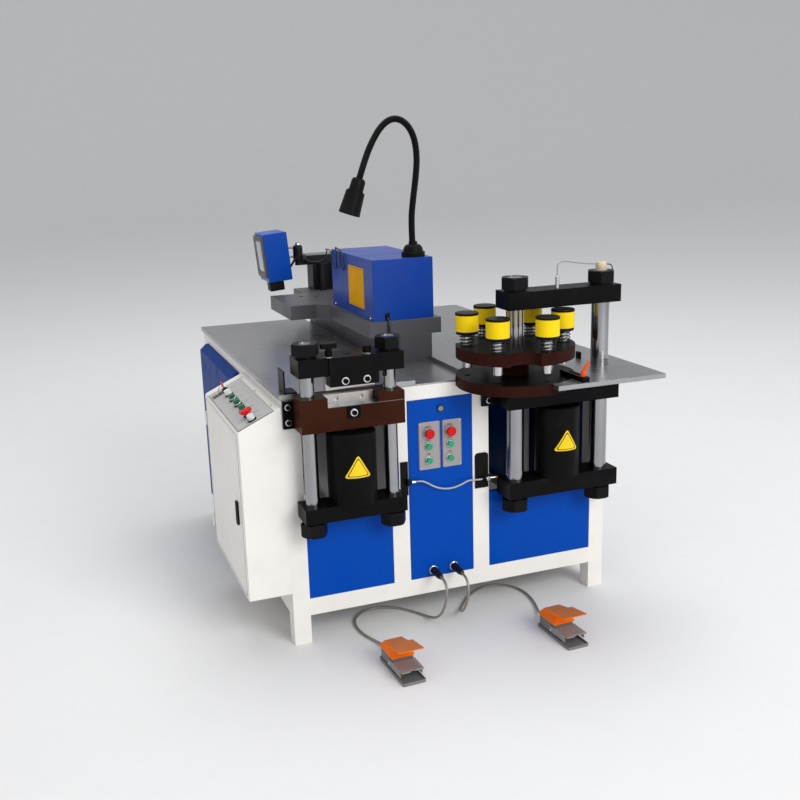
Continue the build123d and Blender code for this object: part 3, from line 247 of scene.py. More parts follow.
class Finish:
    """A material on the standard shader, with the wires that most finishes use."""

    def __init__(self, name, roughness=0.5, metallic=0.0, coat=0.0, edge=EDGE_ROUNDING, shine=0.5):
        self.material = bpy.data.materials.new(name)
        self.material.use_nodes = True
        self.shader = self.material.node_tree.nodes["Principled BSDF"]
        self.shader.inputs["Roughness"].default_value = roughness
        self.shader.inputs["Metallic"].default_value = metallic
        self.shader.inputs["Coat Weight"].default_value = coat
        self.shader.inputs["Specular IOR Level"].default_value = shine
        self.start = Wire(self.material.node_tree)
        self.where = self.start.node("ShaderNodeTexCoord", output=3)
        self.edge = edge

    def noise(self, scale, detail=3.0, stretch=(1, 1, 1)):
        """Cloudy values from 0 to 1, drawn out or squeezed along the axes."""
        factors = {0: self.where, 1: stretch}
        spread = self.start.node("ShaderNodeVectorMath", {"operation": "MULTIPLY"}, factors)
        values = {"Vector": spread, "Scale": scale, "Detail": detail}
        return self.start.node("ShaderNodeTexNoise", None, values)

    def ramp(self, wire, low, high):
        """Stretches the part of a wire between two values to run from 0 to 1."""
        values = {"Value": wire, "From Min": low, "From Max": high}
        return self.start.node("ShaderNodeMapRange", None, values)

    def axes(self):
        """The piece's X, Y and Z as three wires."""
        split = self.start.node("ShaderNodeSeparateXYZ", None, {0: self.where})
        outputs = split.socket.node.outputs
        return [Wire(self.start.tree, outputs[k]) for k in range(3)]

    def feed(self, name, wire):
        """Leads a wire into one of the shader's sockets."""
        self.start.tree.links.new(wire.socket, self.shader.inputs[name])

    def bump(self, height, strength, distance):
        """Leads a height into the normal, over the softened edges."""
        values = {"Height": height, "Strength": strength, "Distance": distance}
        values["Normal"] = self.start.node("ShaderNodeBevel", {"samples": 4}, {"Radius": self.edge})
        self.feed("Normal", self.start.node("ShaderNodeBump", None, values))


def scaled(tone, share):
    """A tone with its three channels made lighter or darker."""
    return tuple(channel * share for channel in tone)


print("finishes start with an edge rounding of", EDGE_ROUNDING * 1000, "mm")

# %% [markdown]
# Powder coat covers the frame, the panels and the covers. It is a thick plastic film: slightly
# pebbled, even in colour, a little duller where hands and dust have been. White, blue and grey
# coats differ in colour and gloss alone, so one function makes them all.

# %% Powder coat
def powder_coat(name, tone, roughness=0.38, cloud=0.04, grime=0.10, shine=0.4):
    """A pebbled coat of paint with faint clouds and smudges."""
    coat = Finish(name, roughness=roughness, shine=shine)
    darker = scaled(tone, 1 - cloud)
    patches = coat.ramp(coat.noise(3.0, 4.0), 0.35, 0.7)
    smudge = coat.ramp(coat.noise(9.0, 6.0), 0.52, 0.78)
    base = patches.blend(tone, darker)
    coat.feed("Base Color", (smudge * 0.6).blend(base, scaled(darker, 1 - grime)))
    coat.feed("Roughness", roughness + smudge * 0.14)
    coat.bump(coat.noise(1400.0, 2.0), 0.06, 0.0004)
    return coat.material


PANEL_BLUE = (0.0006, 0.064, 0.42)
white_coat = powder_coat("white_powder_coat", (0.88, 0.855, 0.81))
blue_coat = powder_coat("blue_powder_coat", PANEL_BLUE, 0.22, grime=0.06, shine=0.06)
# The hood and the side covers wear the front panels' blue paint; their darker tones are painted shade.
hood_blue_painted_shade = powder_coat("hood_blue_coat_painted_shade", (0.0006, 0.046, 0.33), 0.30, grime=0.06, shine=0.30)
side_blue_painted_shade = powder_coat("side_blue_coat_painted_shade", (0.0035, 0.044, 0.235), 0.40, grime=0.06, shine=0.03)
grey_coat = powder_coat("grey_paint", (0.088, 0.087, 0.098), 0.36, 0.08, 0.16, 0.35)
print("powder coats:", white_coat.name, blue_coat.name, grey_coat.name)

# %% [markdown]
# The table tops are ground steel, wiped with oil. Grinding leaves fine parallel lines, and the oil
# leaves cloudy darker patches that are also a little smoother.

# %% Ground steel
def ground_steel(name, tone, roughness, stretch, metallic=1.0):
    """Steel with fine parallel lines, oil clouds and a few rust spots."""
    steel = Finish(name, metallic=metallic)
    lines = steel.noise(60.0, 5.0, stretch)
    clouds = steel.ramp(steel.noise(2.6, 6.0), 0.38, 0.68)
    spots = steel.ramp(steel.noise(38.0, 3.0), 0.66, 0.74)
    dark = scaled(tone, 0.72)
    rust = (tone[0] * 0.55, tone[1] * 0.45, tone[2] * 0.38)
    base = (lines * 0.35).blend(tone, dark)
    base = (clouds * 0.45).blend(base, dark)
    steel.feed("Base Color", (spots * 0.25).blend(base, rust))
    steel.feed("Roughness", roughness + lines * 0.10 - clouds * 0.07)
    steel.bump(lines, 0.03, 0.0002)
    return steel.material


LINES_ALONG_X = (1, 26, 26)
LINES_UPRIGHT = (26, 26, 1)
table_steel = ground_steel("ground_table_steel", (0.40, 0.40, 0.41), 0.27, LINES_ALONG_X, 0.92)
blade_steel = ground_steel("ground_blade_steel", (0.50, 0.47, 0.45), 0.26, LINES_UPRIGHT)
bright_steel = ground_steel("bright_steel", (0.66, 0.66, 0.67), 0.22, LINES_UPRIGHT)
print("steels:", table_steel.name, blade_steel.name, bright_steel.name)

# %% [markdown]
# The press beams, nuts and brackets are blackened steel: nearly black and satin, with faint lighter
# scuffs. Their shine is set low, because a dark oiled surface throws back little of a bright room.

# %% Blackened steel
BLACK_TONE = (0.0030, 0.0029, 0.0031)


def blackened(name, tone=BLACK_TONE, roughness=0.36):
    """Satin black with faint lighter scuffs."""
    black = Finish(name, shine=0.07)
    scuffs = black.ramp(black.noise(14.0, 8.0), 0.56, 0.80)
    lighter = tuple(channel * 2.6 + 0.004 for channel in tone)
    black.feed("Base Color", (scuffs * 0.7).blend(tone, lighter))
    black.feed("Roughness", roughness + scuffs * 0.16)
    black.bump(black.noise(900.0, 3.0), 0.10, 0.0003)
    return black.material


black_steel = blackened("blackened_steel")
print("dark finish:", black_steel.name)

# %% [markdown]
# Moulded parts are buttons, knobs, grips and cables. A moulding has a very fine spark-eroded
# texture and almost even colour. The chrome of the bending ram is the opposite: a mirror with
# faint turned rings and an oily haze.

# %% Plastics and chrome
def moulded(name, tone, roughness=0.35, coat=0.0, metallic=0.0, shine=0.38):
    """An even tone with a very fine grain."""
    plastic = Finish(name, metallic=metallic, coat=coat, edge=0.0006, shine=shine)
    patches = plastic.ramp(plastic.noise(11.0, 4.0), 0.4, 0.7)
    plastic.feed("Base Color", patches.blend(tone, scaled(tone, 0.90)))
    plastic.feed("Roughness", roughness + patches * 0.06)
    plastic.bump(plastic.noise(1800.0, 2.0), 0.08, 0.0002)
    return plastic.material


def chromed(name, tone=(0.78, 0.78, 0.80), roughness=0.07):
    """A mirror with faint turned rings and an oily haze."""
    chrome = Finish(name, metallic=1.0, edge=0.0008)
    haze = chrome.ramp(chrome.noise(16.0, 5.0, (1, 1, 0.35)), 0.42, 0.72)
    rings = chrome.noise(30.0, 4.0, (1, 1, 60))
    chrome.feed("Base Color", (haze * 0.5).blend(tone, scaled(tone, 0.82)))
    chrome.feed("Roughness", roughness + haze * 0.10 + rings * 0.03)
    chrome.bump(rings, 0.02, 0.0002)
    return chrome.material


ram_chrome = chromed("hard_chrome")
black_plastic = moulded("black_moulding", (0.008, 0.008, 0.0085), 0.42, shine=0.15)
red_plastic = moulded("red_button", (0.66, 0.004, 0.004), 0.28, coat=0.08, shine=0.12)
green_plastic = moulded("green_button", (0.002, 0.125, 0.055), 0.22, coat=0.3, shine=0.3)
lit_green = moulded("bright_green_button", (0.004, 0.36, 0.17), 0.26, coat=0.2, shine=0.2)
white_plastic = moulded("white_button", (0.72, 0.72, 0.70), 0.32, coat=0.2)
orange_plastic = moulded("orange_lever", (0.95, 0.085, 0.003), 0.34, shine=0.15)
cream_plastic = moulded("cream_switch_block", (0.72, 0.61, 0.42), 0.45)
grey_alloy = moulded("cast_pedal_grey", (0.30, 0.285, 0.275), 0.40, metallic=0.35)
print("plastics and chrome ready")

# %% [markdown]
# Some solids carry several finishes, such as a yellow ring between a black plate and a black base.
# Their borders lie at known heights and distances, so one finish can hold them all: it reads the
# piece's own coordinates, makes a mask for each zone, and lets the masks switch colour, roughness
# and metal.

# %% Zones of a piece
def along_x(millimetres):
    """A drawing's X as the X of the scene."""
    return place(millimetres, 0, 0).x


def along_y(millimetres):
    """A drawing's Y as the Y of the scene."""
    return place(0, millimetres, 0).y


def between(wire, low, high):
    """1 where a wire lies between two values."""
    return (wire > low) * (wire < high)


def ring_mask(x, y, centres, radius):
    """1 within a radius of upright axes, given by their X and Y in millimetres."""
    inside = None
    for centre_x, centre_y in centres:
        dx = x - along_x(centre_x)
        dy = y - along_y(centre_y)
        disc = (dx * dx + dy * dy) < (radius / 1000) ** 2
        inside = disc if inside is None else inside.maths("MAXIMUM", inside, disc)
    return inside


def facing_up(x, steep):
    """1 on faces that look up; the wire x only says which node tree it is."""
    normal = x.node("ShaderNodeNewGeometry", output=1)
    split = x.node("ShaderNodeSeparateXYZ", None, {0: normal})
    return Wire(x.tree, split.socket.node.outputs[2]) > steep


print("zone helpers ready")

# %% [markdown]
# The zones are laid over a ground one after the other. Each layer's mask mixes its tone, roughness
# and metal over what lies below it, so the last layer wins where two of them meet.

# %% A finish in layers
def layered(name, ground, layers, cloud=0.12, edge=EDGE_ROUNDING, grain=900.0, shine=0.12):
    """A finish over several zones: each has a tone, a roughness, a metal value and a mask of X, Y, Z."""
    coat = Finish(name, edge=edge, shine=shine)
    x, y, z = coat.axes()
    patches = coat.ramp(coat.noise(8.0, 5.0), 0.40, 0.72)
    tone, rough, metal = ground
    colour = patches.blend(tone, scaled(tone, 1 - cloud))
    roughness = patches * 0.08 + rough
    metallic = patches * 0 + metal
    for tone, rough, metal, mask_of in layers:
        mask = mask_of(x, y, z)
        colour = mask.blend(colour, patches.blend(tone, scaled(tone, 1 - cloud)))
        roughness = roughness + mask * (patches * 0.08 + rough - roughness)
        metallic = metallic + mask * (metal - metallic)
    coat.feed("Base Color", colour)
    coat.feed("Roughness", roughness)
    coat.feed("Metallic", metallic)
    coat.bump(coat.noise(grain, 3.0), 0.07, 0.0003)
    return coat.material


BLACK = (BLACK_TONE, 0.36, 0.0)
COLUMN_STEEL = ((0.34, 0.34, 0.355), 0.13, 1.0)
SLEEVE_STEEL = ((0.60, 0.59, 0.58), 0.22, 1.0)
WORN_STEEL = ((0.15, 0.155, 0.16), 0.35, 0.8)
SILVER = ((0.62, 0.62, 0.63), 0.20, 1.0)
YELLOW = ((0.94, 0.66, 0.004), 0.36, 0.0)
BLUE = (PANEL_BLUE, 0.22, 0.0)
BROWN = ((0.040, 0.0105, 0.0042), 0.32, 0.0)
DISC_BROWN = ((0.034, 0.0100, 0.0075), 0.34, 0.0)
DARK_TOP = ((0.0062, 0.0050, 0.0048), 0.30, 0.0)
# A thin dark line of painted reflection on the rims of the turret discs.
PAINTED_REFLECTION_EDGE = ((0.006, 0.005, 0.005), 0.5, 0.0)
ORANGE = ((1.0, 0.185, 0.003), 0.42, 0.0)
DUSTY_ORANGE = ((0.56, 0.17, 0.045), 0.55, 0.0)
CAST_GREY = ((0.23, 0.225, 0.22), 0.44, 0.3)
SCREEN_GREY = ((0.10, 0.092, 0.086), 0.42, 0.0)
BRIDGE_GREY = ((0.20, 0.195, 0.20), 0.36, 0.5)
print("silver as a layer:", SILVER)

# %% [markdown]
# On the presses, each punch is a bright sleeve under a black plate with a yellow ring. The columns
# are polished and carry two turned grooves above the foot, drawn as thin black bands of painted shade.
# The shear's block is brown between its black front and rear, with a worn ledge where the blade rests.

# %% Presses
SHEAR_COLUMNS = [(70.25, -58.7), (341.25, -58.7)]
PUNCH_COLUMNS = [(790.8, -58.7), (1115.5, -58.7)]
PUNCH_PLATE = 1.0018
PUNCH_RING = (1.0157, 1.0692)
SHEAR_LEDGE = (0.8325, 0.8345)
SHEAR_LEDGE_LEFT = 121
SHEAR_BLOCK_Y = (-104.3, -12.3)

punch_finish = layered("punch_body", SLEEVE_STEEL, [
    (*BLACK, lambda x, y, z: z > PUNCH_PLATE),
    (*YELLOW, lambda x, y, z: between(z, *PUNCH_RING)),
], 0.06)


def column_finish(name, centres, radius, foot):
    """Black nuts and polished columns with two thin black bands of painted shade for the turned grooves
    above the foot.
    """
    def column(x, y, z):
        return ring_mask(x, y, centres, radius + 0.02)

    # The two turned grooves are thin black bands: painted shade.
    def rings(x, y, z):
        low = between(z, (foot + 9) / 1000, (foot + 10.5) / 1000)
        return column(x, y, z) * (low + between(z, (foot + 16) / 1000, (foot + 17.5) / 1000))

    return layered(name, BLACK, [(*COLUMN_STEEL, column), (*BLACK, rings)], 0.10, 0.0008, 30.0)


shear_columns_finish = column_finish("shear_column_and_nut", SHEAR_COLUMNS, 23, 834)
punch_columns_finish = column_finish("punch_column_and_nut", PUNCH_COLUMNS, 30, 866)
shear_block_finish = layered("shear_block_paint", BROWN, [
    (*WORN_STEEL, lambda x, y, z: between(z, *SHEAR_LEDGE) * (x > along_x(SHEAR_LEDGE_LEFT))),
    (*BLACK, lambda x, y, z: y > along_y(SHEAR_BLOCK_Y[1])),
    (*BLACK, lambda x, y, z: y < along_y(SHEAR_BLOCK_Y[0])),
], 0.40, shine=0.05)
print("presses:", punch_finish.name, shear_columns_finish.name, shear_block_finish.name)

# %% [markdown]
# The turret's two discs are brown at the rim and darker on top. A thin dark line at each station is painted
# reflection, the edge of a reflection on the rim.
# A line repeats every sixty degrees, so the angle round the axis is wrapped into one sixth of a turn.

# %% Turret discs
TURRET_AXIS = PUNCH_COLUMNS[0]
FIRST_STATION = 223.05
HALF_REFLECTION_EDGE = 0.9


def disc_finish(name, top, rim_radius):
    """Brown rim with a thin dark line of painted reflection at each station, and a darker top."""
    def painted_reflection_edges(x, y, z):
        dx = x - along_x(TURRET_AXIS[0])
        dy = y - along_y(TURRET_AXIS[1])
        angle = x.maths("ARCTAN2", dy, dx) - math.radians(FIRST_STATION)
        turn = x.maths("WRAP", angle, math.radians(30), math.radians(-30))
        on_reflection_edge = (turn.maths("ABSOLUTE", turn) * rim_radius) < HALF_REFLECTION_EDGE
        return on_reflection_edge * ((dx * dx + dy * dy) > ((rim_radius - 1.5) / 1000) ** 2)

    layers = [(*PAINTED_REFLECTION_EDGE, painted_reflection_edges), (*DARK_TOP, lambda x, y, z: z > top - 0.0003)]
    return layered(name, DISC_BROWN, layers, 0.30, shine=0.02)


lower_disc_finish = disc_finish("lower_disc_paint", 0.8646, 198)
upper_disc_finish = disc_finish("upper_disc_paint", 0.966, 194)
print("discs:", lower_disc_finish.name, upper_disc_finish.name)

# %% [markdown]
# Small parts carry two or three finishes as well: the pedals are orange over cast grey and dusty
# where they look up, the sensor block is cream on a dark post, and the cable connectors end in a
# bright ring.

# %% Pedals, sensor and connectors
GUARD_LOW = 0.0492
VISOR_LOW = 0.078
SENSOR_LOW = 1.1885
CONNECTOR_RING = -9.5

pedal_finish = layered("pedal_paint", CAST_GREY, [
    (*ORANGE, lambda x, y, z: z > GUARD_LOW),
    (*DUSTY_ORANGE, lambda x, y, z: (z > VISOR_LOW) * facing_up(x, 0.55)),
], 0.14, 0.0009)
sensor_finish = layered("sensor_block", ((0.030, 0.028, 0.027), 0.35, 0.6), [
    ((0.74, 0.60, 0.37), 0.45, 0.0, lambda x, y, z: z > SENSOR_LOW),
], 0.05, 0.0008)
connector_finish = layered("connector_metal", ((0.020, 0.020, 0.021), 0.35, 0.4), [
    (*SILVER, lambda x, y, z: y > along_y(CONNECTOR_RING)),
], 0.05, 0.0008)
print("small parts:", pedal_finish.name, sensor_finish.name, connector_finish.name)

# %% [markdown]
# The control plates are one solid on two places: the sloping plate on the cabinet and the two plates
# at the front. The masks tell them apart by X. What stands above the slope's sheet is a bezel, and
# one bezel holds a white pilot lamp.

# %% Control plates
SLOPE = math.radians(24.8)
SLOPE_FOOT = (-143, 762)
PLATE_THICK = 0.0028
SLOPE_RIGHT = -2
PILOT_Y = (376, 408)
PILOT_LOW = 0.008
FRONT_PLATES_LEFT = 450
FRONT_SHEET = -3.7


def above_slope(x, z):
    """How far a point lies above the cabinet's sloping plate."""
    return (x - along_x(SLOPE_FOOT[0])) * -math.sin(SLOPE) + (z - SLOPE_FOOT[1] / 1000) * math.cos(SLOPE)


def slope_bezels(x, y, z):
    """The rings that stand on the sloping plate."""
    return (x < along_x(SLOPE_RIGHT)) * (above_slope(x, z) > PLATE_THICK)


def pilot_lamp(x, y, z):
    """The lens of the pilot lamp in its bezel."""
    lens = between(y, along_y(PILOT_Y[0]), along_y(PILOT_Y[1])) * (above_slope(x, z) > PILOT_LOW)
    return slope_bezels(x, y, z) * lens


plate_finish = layered("light_metal_plates", ((0.56, 0.555, 0.55), 0.34, 0.35), [
    ((0.36, 0.335, 0.325), 0.34, 0.35, lambda x, y, z: x > along_x(FRONT_PLATES_LEFT)),
    (*SILVER, lambda x, y, z: (y < along_y(FRONT_SHEET)) * (x > along_x(FRONT_PLATES_LEFT))),
    (*BLACK, slope_bezels),
    ((0.80, 0.80, 0.78), 0.3, 0.0, pilot_lamp),
], 0.05, 0.0006)
print("plates:", plate_finish.name)

# %% [markdown]
# The display's case leans a few degrees, so its masks are drawn on axes that lean with it: blue
# sheet, a black socket below, a black back and a grey screen side. The bending head is dark, with a
# grey bridge on top. The panel lock has a bright core, and each sensor is a silver barrel in its
# black bracket, one of them with an orange tip.

# %% Display, bending head, lock and brackets
DISPLAY_CENTRE = (317.0, 1325.0, 1165.5)
DISPLAY_LEAN = math.radians(-5.0)
DISPLAY_BACK = 0.0529
DISPLAY_BOTTOM = -0.1037
DISPLAY_FACE = -0.0527
HEAD_BRIDGE_LOW = 1.158
HEAD_BRIDGE_FRONT = 1300
LOCK_AT = (540.6, 0.7596)
LOCK_CORE = 0.0078
RIGHT_SENSOR = (703, 735)
RIGHT_SENSOR_TIP = (735.2, 746)
RIGHT_SENSOR_Z = (0.484, 0.500)
LEFT_SENSOR = (427, 441)
LEFT_SENSOR_Z = (0.510, 0.527)


def display_axes(x, z):
    """The display's own sideways and upright axes, which lean a few degrees."""
    dx = x - along_x(DISPLAY_CENTRE[0])
    dz = z - DISPLAY_CENTRE[2] / 1000
    side = dx * math.cos(DISPLAY_LEAN) - dz * math.sin(DISPLAY_LEAN)
    return side, dx * math.sin(DISPLAY_LEAN) + dz * math.cos(DISPLAY_LEAN)


def lock_core(x, y, z):
    """The bright core of the panel lock, round an axis that points to the front."""
    dx = x - along_x(LOCK_AT[0])
    dz = z - LOCK_AT[1]
    return (dx * dx + dz * dz) < LOCK_CORE ** 2


def barrel(across, upright):
    """A mask for a sensor's barrel: between two X in millimetres and two Z in metres."""
    return lambda x, y, z: between(x, along_x(across[0]), along_x(across[1])) * between(z, *upright)


display_finish = layered("display_paint", BLUE, [
    (*BLACK, lambda x, y, z: display_axes(x, z)[0] > DISPLAY_BACK),
    (*BLACK, lambda x, y, z: display_axes(x, z)[1] < DISPLAY_BOTTOM),
    (*SCREEN_GREY, lambda x, y, z: display_axes(x, z)[0] < DISPLAY_FACE),
], 0.05, shine=0.3)
head_finish = layered("bending_head_paint", ((0.016, 0.016, 0.018), 0.42, 0.2), [
    (*BRIDGE_GREY, lambda x, y, z: (z > HEAD_BRIDGE_LOW) * (y > along_y(HEAD_BRIDGE_FRONT))),
], 0.15)
lock_finish = layered("panel_lock_metal", ((0.05, 0.05, 0.05), 0.25, 1.0), [
    ((0.28, 0.28, 0.28), 0.25, 1.0, lock_core),
], 0.05, 0.0006)
bracket_finish = layered("bracket_and_sensor", BLACK, [
    (*SILVER, barrel(RIGHT_SENSOR, RIGHT_SENSOR_Z)),
    (*SILVER, barrel(LEFT_SENSOR, LEFT_SENSOR_Z)),
    (*ORANGE, barrel(RIGHT_SENSOR_TIP, RIGHT_SENSOR_Z)),
], 0.05)
print("zoned finishes ready")

# %% [markdown]
# Every solid now gets its finish. The floor gets a plain pale one.

# %% Dress the solids
def dress(material, *names):
    """Gives solids their finish."""
    for name in names:
        piece = nodes[name]
        if not piece.material_slots:
            piece.data.materials.append(material)
        piece.material_slots[0].material = material


dress(white_coat, "frame", "control_cabinet", "cabinet_door")
dress(blue_coat, "front_panels")
dress(hood_blue_painted_shade, "bend_cover")
dress(side_blue_painted_shade, "body_covers")
dress(display_finish, "display")
dress(table_steel, "bed_plate", "left_table", "right_table")
dress(grey_coat, "bend_body")
dress(head_finish, "bend_head")
dress(black_steel, "shear_top_beam", "shear_base", "punch_block", "punch_top_beam", "punch_base")
dress(black_steel, "stop_arm", "wing_knob")
dress(bracket_finish, "sensor_brackets")
dress(shear_block_finish, "shear_block")
dress(lower_disc_finish, "turret_lower_disc")
dress(upper_disc_finish, "turret_upper_disc")
dress(blade_steel, "lower_blade", "upper_blade")
dress(shear_columns_finish, "shear_columns")
dress(punch_columns_finish, "punch_columns")
dress(punch_finish, *(f"punch_{k}" for k in range(1, 7)))
dress(ram_chrome, "bend_ram")
dress(lock_finish, "panel_lock")
dress(plate_finish, "control_plates")
dress(black_plastic, "cabinet_latch", "work_lamp", "key_switch")
dress(connector_finish, "cable_connectors")
dress(orange_plastic, "clamp_lever")
dress(sensor_finish, "sensor_post")
dress(pedal_finish, "foot_pedals")
dress(grey_alloy, "left_treadle", "right_treadle", "left_pedal_cord", "right_pedal_cord", "link_cable")
dress(red_plastic, "left_stop_button", "right_stop_button", "stop_button")
dress(lit_green, "left_start_button", "left_jog_button", "right_start_button", "right_jog_button")
dress(green_plastic, "green_button_1", "green_button_2", "green_button_3")
dress(white_plastic, "white_button")
dress(bright_steel, "punch_springs")
floor.data.materials.append(powder_coat("pale_studio_floor", FLOOR_TONE, 0.7, 0.01, 0.02))
print("undressed:", [name for name, piece in nodes.items() if not piece.material_slots])

# %% [markdown]
# The pieces that follow are modelled one by one. Most small parts of a machine are turned on a
# lathe, so one helper does the same: it starts from a disc, draws it out along its axis and widens
# or narrows it step by step. A second helper makes blocks with rounded edges.

# %% Turning and blocks
FRONT = (0, -1, 0)
LEFT = (-1, 0, 0)
RIGHT = (1, 0, 0)
UP = (0, 0, 1)


def shade(piece, angle=32):
    """Recalculates the normals, then shades smooth up to an angle."""
    fresh()
    bpy.context.view_layer.objects.active = piece
    piece.select_set(True)
    bpy.ops.object.mode_set(mode="EDIT")
    bpy.ops.mesh.select_all(action="SELECT")
    bpy.ops.mesh.normals_make_consistent(inside=False)
    bpy.ops.object.mode_set(mode="OBJECT")
    bpy.ops.object.shade_smooth_by_angle(angle=math.radians(angle))
    return piece


def turned(name, steps, sides=32):
    """A turned part round Z, from pairs of radius and height in millimetres."""
    fresh()
    radius, height = steps[0]
    bpy.ops.mesh.primitive_circle_add(vertices=sides, radius=radius / 1000, fill_type="NGON")
    piece = bpy.context.object
    piece.name = name
    bpy.ops.object.mode_set(mode="EDIT")
    bpy.ops.transform.translate(value=(0, 0, height / 1000))
    for wider, higher in steps[1:]:
        rise = (0, 0, (higher - height) / 1000)
        bpy.ops.mesh.extrude_region_move(TRANSFORM_OT_translate={"value": rise})
        factor = wider / radius
        bpy.ops.transform.resize(value=(factor, factor, 1), center_override=(0, 0, 0))
        radius, height = wider, higher
    return shade(piece)


def block(name, low, high, rounding, rounds=2):
    """A block between two places, with all its edges rounded."""
    fresh()
    middle = (low + high) / 2
    bpy.ops.mesh.primitive_cube_add(size=1, location=middle)
    piece = bpy.context.object
    piece.name = name
    bpy.ops.object.mode_set(mode="EDIT")
    bpy.ops.transform.resize(value=high - low, center_override=middle)
    bpy.ops.mesh.bevel(offset=rounding / 1000, segments=rounds)
    bpy.ops.object.mode_set(mode="OBJECT")
    bpy.ops.object.transform_apply(location=True, rotation=False, scale=False)
    return shade(piece)


print("turning and blocks ready")

# %% [markdown]
# A piece is modelled upright round the origin. Its mesh, not its object, is then turned and moved to
# its place, and the piece is tied to the body that it moves with. What repeats is copied, each copy
# with a mesh of its own, and joined into one piece.

# %% Setting pieces in their place
def near(x, y, z):
    """A point given in millimetres from the scene's origin, where pieces are modelled."""
    return Vector((x, y, z)) / 1000


def shift(x, y, z=0):
    """The matrix that takes a piece from the origin to a place of the drawing."""
    return Matrix.Translation(place(x, y, z))


def towards(direction):
    """The matrix that turns Z along a direction."""
    return Vector(direction).to_track_quat("Z", "Y").to_matrix().to_4x4()


def settle(piece, material, body, seat=None):
    """Gives a piece its finish, moves its mesh to its place and lets it ride on a body."""
    piece.data.materials.append(material)
    if seat is not None:
        piece.data.transform(seat)
    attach(piece, body)


def put(model, name, spot, direction):
    """A copy of a model that stands at a spot with its Z along a direction."""
    piece = model.copy()
    piece.data = model.data.copy()
    piece.name = name
    scene.collection.objects.link(piece)
    piece.data.transform(Matrix.Translation(spot) @ towards(direction))
    return piece


def join(pieces):
    """Joins pieces into the first of them; one alone stays as it is."""
    fresh()
    for piece in pieces:
        piece.select_set(True)
    bpy.context.view_layer.objects.active = pieces[0]
    if len(pieces) > 1:
        bpy.ops.object.join()
    return pieces[0]


def joined(pieces, name, body):
    """Joins pieces into one that rides on a body."""
    whole = join(pieces)
    whole.name = name
    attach(whole, body)


def put_all(model, name, spots, direction, body):
    """Copies of one model at several spots, joined into one piece."""
    joined([put(model, f"{name}_{k}", spot, direction) for k, spot in enumerate(spots)], name, body)


def discard(*models):
    """Removes models that were only there to be copied."""
    for model in models:
        bpy.data.objects.remove(model)


print("placing helpers ready")

# %% [markdown]
# Each punch is held up by a spring of round wire between the upper disc and the punch's neck. The
# wire is drawn as a path that winds round the sleeve, given its thickness and made a mesh.

# %% Springs
STATION_R = 160.0
DISC_TOP = 966.0
SPRING_LOW = 968.2
SPRING_HIGH = 1000.2
SPRING_R = 24.2
SPRING_WIRE = 3.2
TURNS = 3.6
FLAT_TURN = 0.3
STEPS = 20


def station(k):
    """Where station k stands, as X and Y in millimetres."""
    angle = math.radians(FIRST_STATION + 60 * (k - 1))
    return TURRET_AXIS[0] + STATION_R * math.cos(angle), TURRET_AXIS[1] + STATION_R * math.sin(angle)


def wire(name, points, thickness, material, cyclic=False, sides=2):
    """A round wire along points, as a mesh."""
    fresh()
    bpy.ops.curve.primitive_nurbs_path_add()
    curve = bpy.context.object
    curve.name = name
    curve.data.splines.clear()
    spline = curve.data.splines.new("POLY")
    spline.points.add(len(points) - 1)
    for point, spot in zip(spline.points, points):
        point.co = (*spot, 1)
    spline.use_cyclic_u = cyclic
    curve.data.bevel_depth = thickness / 2000
    curve.data.bevel_resolution = sides
    curve.data.use_fill_caps = True
    bpy.ops.object.convert(target="MESH")
    piece = bpy.context.object
    piece.data.materials.append(material)
    return shade(piece, 60)


coil_points = []
for k in range(int(TURNS * STEPS) + 1):
    angle = k / STEPS * 2 * math.pi
    rise = min(1, max(0, (k / STEPS - FLAT_TURN) / (TURNS - 2 * FLAT_TURN)))
    coil_points.append(Vector((
        SPRING_R / 1000 * math.cos(angle), SPRING_R / 1000 * math.sin(angle),
        rise * (SPRING_HIGH - SPRING_LOW) / 1000,
    )))
spring_steel = blackened("dark_spring_wire", (0.012, 0.011, 0.011), 0.34)
coil = wire("coil", coil_points, SPRING_WIRE, spring_steel)
for k in range(1, 7):
    x, y = station(k)
    spring = put(coil, f"spring_{k}", place(x, y, SPRING_LOW), UP)
    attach(spring, "turret")
    tuple(place(x, y, DISC_TOP))
    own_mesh(spring)
    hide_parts("punch_springs")
discard(coil)
print("springs of", len(coil_points), "points")

# %% [markdown]
# The screws that show are socket screws: a turned head with a slightly rounded rim and a sunk
# socket, the larger ones on a bright washer. At this size the socket reads as a dark hole, so it is
# turned too: the profile simply goes inwards on top of the head and back down.

# %% Socket screws
def socket_screw(name, head_r, head_h, washer_r=0.0):
    """A socket screw with its head's foot at Z 0, on a washer if it has one."""
    socket = head_r * 0.52
    screw = turned(name, [
        (head_r, 0), (head_r, head_h * 0.88), (head_r * 0.9, head_h),
        (socket, head_h), (socket, head_h * 0.45),
    ], 24)
    screw.data.materials.append(black_steel)
    if washer_r:
        washer = turned(f"{name}_washer", [(washer_r, -0.2), (washer_r, 1.4), (head_r + 0.4, 1.6)], 24)
        washer.data.materials.append(bright_steel)
        join([screw, washer])
    return screw


